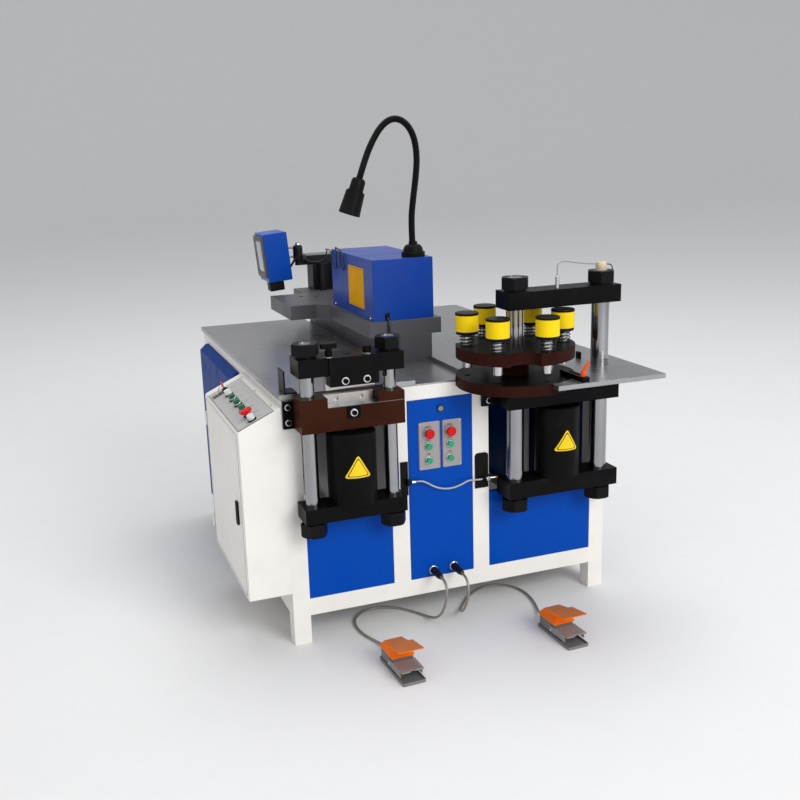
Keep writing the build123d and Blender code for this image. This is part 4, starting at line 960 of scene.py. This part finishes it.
HOLDER_FRONT = -112.0
HOLDER_PROUD = 3.2
holder_screw = socket_screw("bright_screw", 8.2, 8.0, 12.2)
holder_spots = [place(x, HOLDER_FRONT - HOLDER_PROUD, 916) for x in (179.0, 249.4)]
put_all(holder_screw, "holder_screws", holder_spots, FRONT, "shear_yoke")
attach(put(holder_screw, "pad_screw", place(204.5, -110.2, 811), FRONT), "machine")
set_screw = socket_screw("set_screw", 3.6, 1.4)
set_spots = [place(x, HOLDER_FRONT, z) for x in (144, 277) for z in (922, 945, 966)]
put_all(set_screw, "holder_set_screws", set_spots, FRONT, "shear_yoke")
ear_bolt = socket_screw("ear_bolt", 7.6, 6.5, 10.2)
put_all(ear_bolt, "shear_ear_bolts", [place(17, -12, z) for z in (776, 826)], FRONT, "machine")
put_all(ear_bolt, "punch_ear_bolt", [place(716, -12, 768)], FRONT, "machine")
discard(holder_screw, set_screw, ear_bolt)
print("socket screws placed")

# %% [markdown]
# Triangular signs are stuck on both barrels. Each is three films of falling size on one another:
# yellow, dark and yellow again, so that a thin dark line shows round the inner field. A film starts
# as a three-sided disc; its corners are bevelled, it is cut into upright strips so that it can bend,
# and a Shrinkwrap modifier presses it on the barrel's round skin.

# %% Signs on the barrels
sign_yellow = moulded("sign_yellow", (0.92, 0.64, 0.02), 0.35, shine=0.1)
sign_dark = moulded("sign_dark", (0.006, 0.006, 0.006), 0.4)
SHEAR_SIGN = (202.0, 630.0)
PUNCH_SIGN = (949.0, 618.0)
SIGN_R = 51.0
SIGN_LAYERS = ((1.0, 0.35, sign_yellow), (0.83, 0.55, sign_dark), (0.74, 0.75, sign_yellow))
BEFORE_BARRELS = -175
STRIPS = 12


def film_triangle(name, x, z, radius, lift, target, tone):
    """A triangle of film with round corners, pressed on a barrel."""
    fresh()
    start = place(x, BEFORE_BARRELS, z)
    upright = (math.radians(90), 0, 0)
    bpy.ops.mesh.primitive_circle_add(vertices=3, radius=radius / 1000, fill_type="NGON",
                                      location=start, rotation=upright)
    film = bpy.context.object
    film.name = name
    bpy.ops.object.transform_apply(location=True, rotation=True, scale=False)
    bpy.ops.object.mode_set(mode="EDIT")
    bpy.ops.mesh.select_all(action="SELECT")
    bpy.ops.mesh.bevel(offset=radius * 0.20 / 1000, segments=6, affect="VERTICES")
    for k in range(1, STRIPS):
        bpy.ops.mesh.select_all(action="SELECT")
        cut = along_x(x - radius + radius * 2 * k / STRIPS)
        bpy.ops.mesh.bisect(plane_co=(cut, 0, 0), plane_no=(1, 0, 0))
    bpy.ops.object.mode_set(mode="OBJECT")
    wrap = film.modifiers.new("wrap", "SHRINKWRAP")
    wrap.target = nodes[target]
    wrap.wrap_method = "PROJECT"
    wrap.use_project_y = True
    wrap.use_positive_direction = True
    wrap.offset = lift / 1000
    bpy.ops.object.modifier_apply(modifier="wrap")
    film.data.materials.append(tone)
    return film


for name, (x, z), target, body in (
    ("shear_sign", SHEAR_SIGN, "shear_base", "shear_yoke"),
    ("punch_sign", PUNCH_SIGN, "punch_base", "punch_yoke"),
):
    films = [
        film_triangle(f"{name}_{k}", x, z, SIGN_R * share, lift, target, tone)
        for k, (share, lift, tone) in enumerate(SIGN_LAYERS)
    ]
    joined(films, name, body)
print("signs placed")

# %% [markdown]
# The work lamp stands on the bending unit's cover. It has a turned magnetic foot in three steps, a
# neck of fine rings like a shower hose, and a conical head with a hollow mouth and a frosted glass.
# The neck's rings are modelled: a round tube follows the neck's curve, and every other ring of its
# vertices is drawn in a little.

# %% Work lamp
COVER_TOP = 1224.5
LAMP_FOOT_X = 622.0
LAMP_Y = 420.0
NECK_R = 11.5
NECK_RING = 3.6
GROOVE = 0.92
NECK_ROUTE = [
    (620, 1270), (617, 1352), (626, 1423), (640, 1510), (646, 1580), (636, 1649),
    (604, 1697), (559, 1712), (513, 1685), (470, 1619), (442, 1552), (424, 1501),
]
HEAD_DIRECTION = (-0.333, 0, -0.943)

lamp_black = blackened("lamp_black", (0.0060, 0.0056, 0.0054), 0.42)
neck_black = blackened("lamp_neck_black", (0.0042, 0.0042, 0.0046), 0.30)
frosted = moulded("lamp_glass", (0.75, 0.74, 0.70), 0.25)

foot = turned("lamp_foot", [
    (42, 0), (43, 1.5), (43, 15), (41.5, 17), (36, 17.5), (35.5, 26), (33, 33), (28.5, 39), (22, 42.5),
    (16, 43.5), (15.5, 52), (14, 54), (11, 54.5),
], 48)
settle(foot, lamp_black, "machine", shift(LAMP_FOOT_X, LAMP_Y, COVER_TOP))
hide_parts("work_lamp")


def soft_curve(name, points, resolution):
    """A curve object that follows a row of control points softly."""
    curve = bpy.data.curves.new(name, "CURVE")
    curve.dimensions = "3D"
    curve.resolution_u = resolution
    spline = curve.splines.new("NURBS")
    spline.points.add(len(points) - 1)
    for point, spot in zip(spline.points, points):
        point.co = (*spot, 1)
    spline.order_u = 3
    spline.use_endpoint_u = True
    spline.use_smooth = True
    carrier = bpy.data.objects.new(name, curve)
    scene.collection.objects.link(carrier)
    return carrier


def smooth_route(points):
    """The places along a soft line that follows a row of control points."""
    carrier = soft_curve("route", points, 24)
    bpy.context.view_layer.update()
    line = [vertex.co.copy() for vertex in bpy.data.meshes.new_from_object(carrier).vertices]
    bpy.data.objects.remove(carrier)
    return line


def walk(line, step):
    """Places along a line with the same way between them, in metres."""
    spots = [line[0]]
    left = step
    for start, end in zip(line, line[1:]):
        length = (end - start).length
        while length >= left and length > 0:
            start = start.lerp(end, left / length)
            spots.append(start)
            length = (end - start).length
            left = step
        left -= length
    return spots


neck_line = walk(smooth_route([place(x, LAMP_Y, z) for x, z in NECK_ROUTE]), NECK_RING / 2000)
neck = wire("lamp_neck", neck_line, NECK_R * 2 + 1, neck_black, sides=6)
sides_of_neck = len(neck.data.vertices) // len(neck_line)
for index, vertex in enumerate(neck.data.vertices):
    ring = min(index // sides_of_neck, len(neck_line) - 1)
    if ring % 2 and 0 < ring < len(neck_line) - 2:
        vertex.co = neck_line[ring].lerp(vertex.co, GROOVE)
shade(neck, 30)
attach(neck, "machine")
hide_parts("work_lamp")
print("lamp neck rings:", len(neck_line) // 2)

# %% [markdown]
# The head hangs from the neck's end. Its profile runs out along the cone, round the rim and back
# inside, so the mouth is hollow, and a domed glass closes it.

# %% Lamp head
head = turned("lamp_head", [
    (14, -8), (20, -6), (23.4, -1), (25.0, 4), (25.6, 38), (27, 39), (33.6, 40.5), (38.4, 118), (38.8, 122),
    (36.6, 122.4), (35.6, 120), (32.5, 96), (6, 93),
], 64)
glass = turned("lamp_glass_disc", [(32.4, 96.2), (32.4, 98), (24, 101.5), (10, 103.4), (2, 103.6)], 48)
ribs = turned("lamp_ribs", [(25.9, 36), (28.4, 36.6), (28.6, 39.4), (26, 40), (26, 41)], 64)
head_seat = shift(NECK_ROUTE[-1][0], LAMP_Y, NECK_ROUTE[-1][1]) @ towards(HEAD_DIRECTION)
for piece, finish in ((head, lamp_black), (glass, frosted), (ribs, neck_black)):
    settle(piece, finish, "machine", head_seat)
    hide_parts("work_lamp")
print("lamp head points along", HEAD_DIRECTION)

# %% [markdown]
# The cords that feed the pedals leave the panel straight, drop to the floor under their own weight
# and run back to the pedals in loose bends. Each one is a smooth curve with a round section that
# follows a row of chosen points. The third cable links the two sensors on the presses.

# %% Cords
CORD_D = 9.0
LINK_D = 6.0
LEFT_CORD = [
    (503, -72, 184), (503, -97, 184), (503, -119, 170), (500, -128, 145), (497, -124, 114), (494, -112, 84),
    (492, -93, 59), (491, -66, 36), (489, -34, 18), (482, 4, 7), (462, 44, 5), (434, 88, 5), (396, 128, 5),
    (346, 150, 5), (294, 145, 5), (250, 112, 5), (228, 62, 5), (226, 6, 5), (237, -46, 5), (254, -89, 6),
    (262, -122, 9), (265, -149, 17), (265.96, -173.25, 24), (266.96, -195.23, 24),
]
RIGHT_CORD = [
    (580, -72, 186), (580, -97, 186), (581, -119, 172), (580, -129, 147), (578, -126, 116), (577, -113, 86),
    (579, -92, 61), (584, -65, 39), (593, -32, 21), (607, 6, 9), (634, 44, 5), (668, 86, 5), (712, 126, 5),
    (766, 150, 5), (820, 148, 5), (860, 118, 5), (882, 68, 5), (884, 12, 5), (876, -43, 5), (862, -90, 6),
    (850, -125, 9), (843.5, -153, 17), (841.96, -177.25, 24), (842.96, -199.23, 24),
]
LINK_CABLE = [
    (445, -14, 518.5), (463, -14, 518.5), (482, -15, 509), (506, -17, 493), (534, -18, 481),
    (568, -18, 477), (602, -18, 483), (632, -16, 495), (653, -14, 494), (671, -14, 492), (688, -14, 492),
]

cord_grey = moulded("cord_grey", (0.30, 0.275, 0.245), 0.38, metallic=0.45)
cord_light = moulded("cord_light_grey", (0.46, 0.45, 0.42), 0.48)
cord_black = moulded("cord_black", (0.012, 0.012, 0.013), 0.42)


def cord_curve(name, points, diameter, material, body="machine"):
    """A round cord on a soft line."""
    piece = soft_curve(name, [place(*spot) for spot in points], 10)
    piece.data.bevel_depth = diameter / 2000
    piece.data.bevel_resolution = 4
    piece.data.use_fill_caps = True
    settle(piece, material, body)
    return piece


for name, points, diameter, length, lay, tone in (
    ("left_pedal_cord", LEFT_CORD, CORD_D, 0.911, "loose", cord_grey),
    ("right_pedal_cord", RIGHT_CORD, CORD_D, 0.936, "loose", cord_grey),
    ("link_cable", LINK_CABLE, LINK_D, 0.255, "hanging", cord_light),
):
    cord = cord_curve(f"{name}_line", points, diameter, tone)
    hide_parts(name)
    tuple(place(*points[0]))
    diameter / 1000
print("cords laid")

# %% [markdown]
# Thin leads also run to the probe on the punching unit and out of the switch block. They are held
# at both ends and sag a little between them. The probe's lead goes down with the yoke. The other
# one ends on the table and is a plain mesh.

# %% Sensor leads
PROBE_LEAD = [
    (930.5, -90, 1189), (930, -90, 1204), (930, -90, 1221), (948, -87, 1230), (976, -83, 1228),
    (1006, -78, 1222), (1036, -73, 1217), (1066, -67, 1213), (1100, -62, 1210),
]
SWITCH_LEAD = [
    (1132, -58.7, 1206), (1147, -57, 1207), (1164, -50, 1200), (1178, -34, 1178), (1188, -14, 1138),
    (1194, 4, 1092), (1198, 20, 1044), (1208, 40, 1000), (1214, 62, 960), (1206, 84, 924),
    (1198, 100, 892), (1196, 104, 866.5),
]
cord_curve("probe_lead", PROBE_LEAD, 3.2, cord_grey, "punch_yoke")
switch_lead = wire("switch_lead", smooth_route([place(*spot) for spot in SWITCH_LEAD]), 4.0, cord_black)
bend_from, bend_to = (tuple(place(*SWITCH_LEAD[k])) for k in (2, -2))
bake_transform(switch_lead)
print("leads laid")

# %% [markdown]
# The display's case comes with the solids. Its screen looks to the left: a grey frame with a pale
# glass. These and the black socket below are modelled upright round the origin and then leaned as
# the case is. A clamp knob stands on the display's arm, and two level rods join the arm to the case.

# %% Display
DISPLAY_LEFT = -61.7
SCREEN_UP = 0.004
ARM_X = 432.0
ARM_Y = 1340.0
ROD_START = 362.5
ROD_HEIGHTS = (1154.4, 1194.4)

frame_grey = moulded("display_frame_grey", (0.115, 0.105, 0.098), 0.45)
screen_glass = moulded("display_glass", (0.52, 0.56, 0.60), 0.12, coat=0.5)
rod_grey = moulded("rod_grey", (0.20, 0.20, 0.20), 0.32, metallic=0.8)
lean = shift(*DISPLAY_CENTRE) @ Matrix.Rotation(DISPLAY_LEAN, 4, "Y")
screen_seat = lean @ Matrix.Translation((0, 0, SCREEN_UP))

screen_frame = block("screen_frame", near(DISPLAY_LEFT - 0.4, -74, -86.5),
                     near(DISPLAY_LEFT + 3.5, 74, 86.5), 1.2)
bpy.ops.object.mode_set(mode="EDIT")
pick("FACE", lambda middle, normal: normal.x < -0.99 and abs(middle.y) < 0.004 and abs(middle.z) < 0.004)
bpy.ops.mesh.inset(thickness=0.015)
bpy.ops.mesh.inset(thickness=0.0012, depth=-0.0022)
bpy.ops.object.mode_set(mode="OBJECT")
settle(screen_frame, frame_grey, "display", screen_seat)
screen = block("screen_glass", near(DISPLAY_LEFT + 0.9, -56, -69), near(DISPLAY_LEFT + 3.0, 56, 69), 0.5)
settle(screen, screen_glass, "display", screen_seat)

arm_knob = turned("display_knob", [
    (19, 1141), (21.4, 1143), (21.4, 1192), (20, 1199), (17, 1203), (12, 1204), (9.5, 1205), (9.5, 1211),
    (8, 1213.2),
], 40)
settle(arm_knob, black_plastic, "display", shift(ARM_X, ARM_Y))
arm_cap = turned("display_knob_cap", [(10.4, 1204.6), (10.4, 1211.4), (9.2, 1213.4)], 32)
settle(arm_cap, bright_steel, "display", shift(ARM_X, ARM_Y))
for k, z in enumerate(ROD_HEIGHTS):
    rod = turned(f"display_rod_{k}", [(4.1, 0), (4.1, 52), (3.9, 52.4)], 20)
    settle(rod, rod_grey, "display", shift(ROD_START, ARM_Y, z) @ towards(RIGHT))
print("display at", DISPLAY_CENTRE)

# %% [markdown]
# A yellow label is stuck on the cover's left side. It is plain film here: a thin plate whose face is
# inset twice, with a darker border line between. Silver pan-head screws hold the cover's lower edge,
# and smaller ones hold the control plates.

# %% Cover label and screws
COVER_LEFT = 442.3
LABEL_Y = (462.0, 644.0)
LABEL_Z = (1036.0, 1185.0)
LABEL_INSETS = ((0.005, 1), (0.0012, 0))
BUTTON_PLATE_FRONT = -3.5

label_yellow = moulded("label_yellow", (0.84, 0.40, 0.004), 0.40, shine=0.02)
label = block("cover_label", place(COVER_LEFT - 0.5, LABEL_Y[0], LABEL_Z[0]),
              place(COVER_LEFT - 0.05, LABEL_Y[1], LABEL_Z[1]), 0.2)
label.data.materials.append(label_yellow)
label.data.materials.append(sign_dark)
bpy.ops.object.mode_set(mode="EDIT")
pick("FACE", lambda middle, normal: normal.x < -0.99)
for thickness, slot in LABEL_INSETS:
    bpy.ops.mesh.inset(thickness=thickness)
    label.active_material_index = slot
    bpy.ops.object.material_slot_assign()
bpy.ops.object.mode_set(mode="OBJECT")
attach(label, "machine")


def on_slope(along, y, above=0.0):
    """A point of the cabinet's sloping plate, from the way up the slope and Y."""
    x = SLOPE_FOOT[0] + along * math.cos(SLOPE) - above * math.sin(SLOPE)
    z = SLOPE_FOOT[1] + along * math.sin(SLOPE) + above * math.cos(SLOPE)
    return place(x, y, z)


slope_normal = (-math.sin(SLOPE), 0, math.cos(SLOPE))
pan_screw = turned("pan_screw", [(5.2, 0), (5.2, 1.0), (4.6, 2.4), (3.0, 3.2), (1.0, 3.4)], 24)
small_screw = turned("small_screw", [(3.6, 0), (3.6, 0.7), (3.0, 1.5), (0.8, 1.9)], 20)
for screw in (pan_screw, small_screw):
    screw.data.materials.append(bright_steel)
put_all(pan_screw, "cover_screws", [place(COVER_LEFT, y, 1011) for y in (398, 822)], LEFT, "machine")
plate_spots = [place(x, BUTTON_PLATE_FRONT, z) for x in (465.5, 610.5) for z in (558, 712)]
put_all(small_screw, "plate_screws", plate_spots, FRONT, "machine")
slope_spots = [on_slope(along, y, 2.4) for along in (18, 136) for y in (60, 285, 510)]
put_all(small_screw, "slope_screws", slope_spots, slope_normal, "machine")
discard(pan_screw, small_screw)
print("cover and plates screwed down")

# %% [markdown]
# A key with a red grip sits in the key switch, and two more hang from it on a wire ring and lie on
# the slope. Each starts as a flat disc: its middle is inset and taken out for the hole, what is left
# is thickened, and a few faces of its rim are drawn out into the blade.

# %% Keys
KEY_Y = 458.0
BOW_R = 0.0105
HOLE_INSET = 0.0062
KEY_THICK = 0.0022
BLADE = 0.024
BLADE_START = 0.0085
BLADE_HALF = 0.0045
RING_AT = (50.5, 14.5)
RING_R = (12.6, 11.5)
RING_STEPS = 24
key_steel = ground_steel("key_steel", (0.26, 0.19, 0.14), 0.28, (20, 20, 1))
key_red = moulded("key_red_grip", (0.60, 0.02, 0.02), 0.35)


def key(name, along, y, turn, above):
    """One key that lies on the sloping plate, its blade pointing down the slope."""
    fresh()
    bpy.ops.mesh.primitive_circle_add(vertices=24, radius=BOW_R, fill_type="NGON")
    piece = bpy.context.object
    piece.name = name
    bpy.ops.object.mode_set(mode="EDIT")
    bpy.ops.mesh.inset(thickness=HOLE_INSET)
    bpy.ops.mesh.delete(type="FACE")
    bpy.ops.mesh.select_all(action="SELECT")
    bpy.ops.mesh.extrude_region_move(TRANSFORM_OT_translate={"value": (0, 0, KEY_THICK)})
    pick("FACE", lambda middle, normal: normal.z < 0.1 and middle.y < -BLADE_START
         and abs(middle.x) < BLADE_HALF)
    bpy.ops.mesh.extrude_region_move(TRANSFORM_OT_translate={"value": (0, -BLADE, 0)})
    bpy.ops.object.mode_set(mode="OBJECT")
    slope_up = Vector((math.cos(SLOPE), 0, math.sin(SLOPE)))
    lay = Matrix((Vector(FRONT), slope_up, Vector(slope_normal))).transposed().to_4x4()
    seat = Matrix.Translation(on_slope(along, y, above)) @ lay @ Matrix.Rotation(math.radians(turn), 4, "Z")
    settle(piece, key_steel, "key_switch", seat)
    shade(piece)


key("spare_key_1", 42, KEY_Y + 1, -14, 3.0)
key("spare_key_2", 41, KEY_Y - 1, 16, 5.4)
ring_points = []
for k in range(RING_STEPS):
    angle = k / RING_STEPS * 2 * math.pi
    along = RING_AT[0] + RING_R[0] * math.cos(angle)
    ring_points.append(on_slope(along, KEY_Y, RING_AT[1] + RING_R[1] * math.sin(angle)))
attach(wire("key_ring", ring_points, 1.6, key_steel, cyclic=True), "key_switch")
grip = block("key_grip", near(-3, -9.8, 24), near(3, 9.8, 40.5), 2.4, 3)
grip_seat = Matrix.Translation(on_slope(60, KEY_Y)) @ Matrix.Rotation(-SLOPE, 4, "Y")
settle(grip, key_red, "key_switch", grip_seat)
print("key ring hung")

# %% [markdown]
# The door's latch is a slim black handle with a finger recess. The collars under the wing knob and
# on the shear's beam are knurled: a fine row of grooves, made by drawing every other upright line of
# the turned part towards the axis. The switch block and the probe are turned as well.

# %% Latch, collars and switch block
DOOR_FACE = -146.4
BEAM_TOP = 990.5
KNURLS = 64
SWITCH_AT = (1116.0, -58.7)
PROBE_AT = (930.5, -90.0)

latch = block("latch_handle", place(DOOR_FACE - 7.6, 60, 433), place(DOOR_FACE, 84, 513), 3.0, 3)
bpy.ops.object.mode_set(mode="EDIT")
pick("FACE", lambda middle, normal: normal.x < -0.99)
bpy.ops.mesh.inset(thickness=0.0055)
bpy.ops.mesh.extrude_region_move(TRANSFORM_OT_translate={"value": (0.0032, 0, 0)})
bpy.ops.object.mode_set(mode="OBJECT")
settle(latch, black_plastic, "cabinet_latch")
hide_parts("cabinet_latch")


def knurled(name, spot, radius, low, high, body):
    """An upright knurled collar on a bright washer."""
    profile = [(radius - 1, low), (radius, low + 1), (radius, high - 1.5), (radius - 1.5, high)]
    collar = turned(name, profile, KNURLS)
    bpy.ops.object.mode_set(mode="EDIT")
    pick("VERT", lambda middle, _: math.hypot(middle.x, middle.y) > (radius - 0.2) / 1000
         and round(math.atan2(middle.y, middle.x) / (2 * math.pi) * KNURLS) % 2)
    bpy.ops.transform.resize(value=(0.95, 0.95, 1), center_override=(0, 0, 0))
    bpy.ops.object.mode_set(mode="OBJECT")
    profile = [(radius + 2, low - 2.4), (radius + 2, low - 0.4), (radius + 1, low)]
    washer = turned(f"{name}_washer", profile, 40)
    settle(collar, black_steel, body, shift(*spot))
    settle(washer, bright_steel, body, shift(*spot))


knurled("knob_collar", (135, -93), 11.6, BEAM_TOP + 2.6, BEAM_TOP + 21, "wing_knob")
knurled("cap_screw_collar", (262, -84), 13.6, BEAM_TOP + 2.6, BEAM_TOP + 24, "shear_yoke")
switch_block = turned("switch_block", [
    (18.5, 1188.2), (19, 1189), (19, 1208), (16, 1209), (16, 1214.5), (14, 1216.5), (7, 1216.5),
    (7, 1217.6),
], 40)
settle(switch_block, cream_plastic, "punch_yoke", shift(*SWITCH_AT))
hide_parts("sensor_post")
red_pip = turned("switch_pip", [(4.2, 1216.4), (4.2, 1217.5), (3, 1218)], 20)
settle(red_pip, moulded("brown_red_pip", (0.16, 0.02, 0.012), 0.4), "punch_yoke", shift(*SWITCH_AT))
probe = turned("probe", [(6.4, 1143), (6.4, 1183), (5.4, 1184.5), (3.2, 1185), (3.2, 1189)], 28)
settle(probe, bright_steel, "punch_yoke", shift(*PROBE_AT))
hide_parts("sensor_post")
print("latch, collars and switch block made")

# %% [markdown]
# Each pedal's tread is ribbed for a firm grip. The ribs are thin bars on the plate, laid in two
# crossing rows. A screw head closes each end of the hinge pin.

# %% Treads
PEDALS = {"left": (228.0, -197.0), "right": (804.0, -201.0)}
PEDAL_TURN = math.radians(2.6)
TREAD_TOP = 42.0
RIB_WIDTH = 1.6
HINGE_Y = -85
HINGE_Z = 25


def rib(name, low, high):
    """One thin bar on a treadle, from two corners in the pedal's own millimetres."""
    return block(name, near(*low, TREAD_TOP - 0.2), near(*high, TREAD_TOP + 0.8), 0.3, 1)


for side, pedal in PEDALS.items():
    pedal_seat = shift(*pedal) @ Matrix.Rotation(PEDAL_TURN, 4, "Z")
    name = f"{side}_tread_ribs"
    bars = []
    for k in range(9):
        y = -180 + k * 8
        bars.append(rib(f"{name}_bar_{k}", (5, y), (73, y + RIB_WIDTH)))
    for k in range(8):
        x = 6 + k * 8.8
        bars.append(rib(f"{name}_rib_{k}", (x, -179), (x + RIB_WIDTH, -115)))
    for bar in bars:
        bar.data.transform(pedal_seat)
        bar.data.materials.append(grey_alloy)
    joined(bars, name, f"{side}_treadle")
    for k, (x, facing) in enumerate(((0.4, LEFT), (77.6, RIGHT))):
        pin_head = turned(f"{side}_pin_head_{k}", [(5.4, 0), (5.4, 1.4), (4.2, 2.6), (1.2, 3.0)], 24)
        seat = pedal_seat @ Matrix.Translation(near(x, HINGE_Y, HINGE_Z)) @ towards(facing)
        settle(pin_head, bright_steel, "machine", seat)
print("treads ribbed")

# %% [markdown]
# Folded sheet parts meet in narrow dark seams: round the plate on the slope and round the cabinet's
# door. A thin dark line half sunk in the sheet stands for each, and short plain strokes stand for
# the engraving beside the controls. Bright rims close the bezels on the slope.

# %% Seams and engraved strokes
DOOR_CORNERS = [(13, 203), (557, 203), (557, 748), (13, 748)]
PLATE_CORNERS = [(2.4, 1.2), (2.4, 518.8), (129.2, 518.8), (129.2, 1.2)]
BUTTON_X = (494.5, 572.7)
SLOPE_ROWS = ((86, 5), (93, 7))
BUTTON_ROWS = ((703, 8), (699, 13), (657, 6), (653.5, 9), (607, 6), (603.5, 9))
seam_grey = moulded("seam_grey", (0.20, 0.195, 0.185), 0.6, shine=0.05)
seam_dark = moulded("seam_dark", (0.010, 0.010, 0.010), 0.6, shine=0.05)

door_line = [place(DOOR_FACE + 0.1, y, z) for y, z in DOOR_CORNERS]
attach(wire("door_seam", door_line, 1.0, seam_grey, cyclic=True), "cabinet_door")
plate_line = [on_slope(along, y, 0.9) for along, y in PLATE_CORNERS]
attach(wire("plate_seam", plate_line, 1.8, seam_dark, cyclic=True), "machine")

stroke_ends = [
    [on_slope(along, y + side * half, 2.3) for side in (-1, 1)]
    for y in (26, 84, 158, 238, 318, 392, 458) for along, half in SLOPE_ROWS
]
stroke_ends += [
    [place(x + side * half, BUTTON_PLATE_FRONT, z) for side in (-1, 1)]
    for x in BUTTON_X for z, half in BUTTON_ROWS
]
strokes = [wire(f"stroke_{k}", ends, 1.3, seam_dark, sides=1) for k, ends in enumerate(stroke_ends)]
joined(strokes, "engraved_strokes", "machine")
for k, x in enumerate((462.0, 535.2, 548.0, 614.2)):
    edge = [place(x, BUTTON_PLATE_FRONT + 0.1, z) for z in (558, 711)]
    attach(wire(f"plate_line_{k}", edge, 0.9, seam_dark, sides=1), "machine")
rim = turned("bezel_rim", [(13.8, 7.4), (13.8, 10.6), (13.0, 11.4), (11.9, 11.4), (11.8, 7.6)], 32)
rim.data.materials.append(bright_steel)
put_all(rim, "bezel_rims", [on_slope(60, y) for y in (26, 158, 238, 318, 392)], slope_normal, "machine")
discard(rim)
socket = block("display_socket", near(-46, -58, -146), near(18, -2, -103), 4.0, 3)
settle(socket, black_plastic, "display", lean)
print("strokes:", len(stroke_ends))

# %% [markdown]
# A thin black cable feeds the display: it droops from the arm to the bridge, crosses to the cover
# and hangs there in two spare loops before it goes inside through the cover's open rear. A second
# short cable comes out of the slot at the cover's front and ends in a tan ferrule.

# %% Display cable and front cable
cord_curve("display_cable", [
    (446, 1318, 1160), (449, 1310, 1151), (462, 1306, 1139), (482, 1303, 1130), (505, 1302, 1128),
    (528, 1302, 1134), (546, 1303, 1147), (552, 1300, 1166), (546, 1270, 1181), (528, 1210, 1192),
    (506, 1150, 1198), (486, 1080, 1204), (466, 1000, 1210), (450, 930, 1217), (440, 880, 1222),
    (435, 842, 1216), (434, 820, 1192), (434, 806, 1168), (434, 790, 1154), (434, 772, 1160),
    (434, 764, 1184), (434, 770, 1212), (435, 752, 1228), (436, 728, 1216), (436, 716, 1190),
    (436, 706, 1166), (436, 690, 1156), (436, 674, 1168), (436, 672, 1194), (436, 688, 1220),
    (436, 716, 1233), (438, 760, 1236), (446, 812, 1236), (458, 852, 1232), (470, 876, 1214),
    (474, 872, 1188),
], 5.0, cord_black)
cord_curve("front_cable", [
    (494, 384, 1020), (494, 366, 1020), (494, 353, 1013), (494, 345, 998), (494, 343, 980), (494, 343, 962),
], 8.0, cord_black)
ferrule = turned("cable_ferrule", [(4.4, 940), (5.0, 941.5), (5.0, 958), (4.4, 962)], 24)
settle(ferrule, moulded("tan_ferrule", (0.42, 0.25, 0.14), 0.45), "machine", shift(494, 343))
print("cables hung")

# %% [markdown]
# Studio light: one large soft lamp from the front right, a weaker one from the left and a wide one
# above. The world is a plain pale grey that only fills the shadows; where the camera or a mirror
# looks past the floor, it shows white.

# %% Lamps and world
BODY_MIDDLE = Vector((0, 0, 0.7))
WORLD_LIGHT = 0.57
WORLD_SHOWN = 0.43
MIRRORED_SHARE = 0.9

for name, spot, size, power in (
    ("key_light", (3.0, -8.8, 5.4), 4.6, 520),
    ("fill_light", (-7.6, -4.6, 4.4), 4.0, 30),
    ("top_light", (0.8, 1.2, 8.0), 5.0, 250),
):
    fresh()
    bpy.ops.object.light_add(type="AREA", location=spot)
    lamp = bpy.context.object
    lamp.name = name
    lamp.data.size = size
    lamp.data.energy = power
    lamp.rotation_euler = (BODY_MIDDLE - Vector(spot)).to_track_quat("-Z", "Y").to_euler()

if scene.world is None:
    scene.world = bpy.data.worlds.new("studio")
scene.world.use_nodes = True
scene.world.node_tree.nodes.clear()
sky = Wire(scene.world.node_tree)
paths = sky.node("ShaderNodeLightPath").socket.node.outputs
direct, mirrored, through = (
    Wire(sky.tree, paths[name]) for name in ("Is Camera Ray", "Is Glossy Ray", "Is Transmission Ray")
)
shown = sky.maths("MAXIMUM", direct, sky.maths("MAXIMUM", mirrored * MIRRORED_SHARE, through))
strength = shown * WORLD_SHOWN + WORLD_LIGHT
glow = sky.node("ShaderNodeBackground", None, {"Color": (0.97, 0.98, 1.0, 1.0), "Strength": strength})
sky.node("ShaderNodeOutputWorld", None, {0: glow})
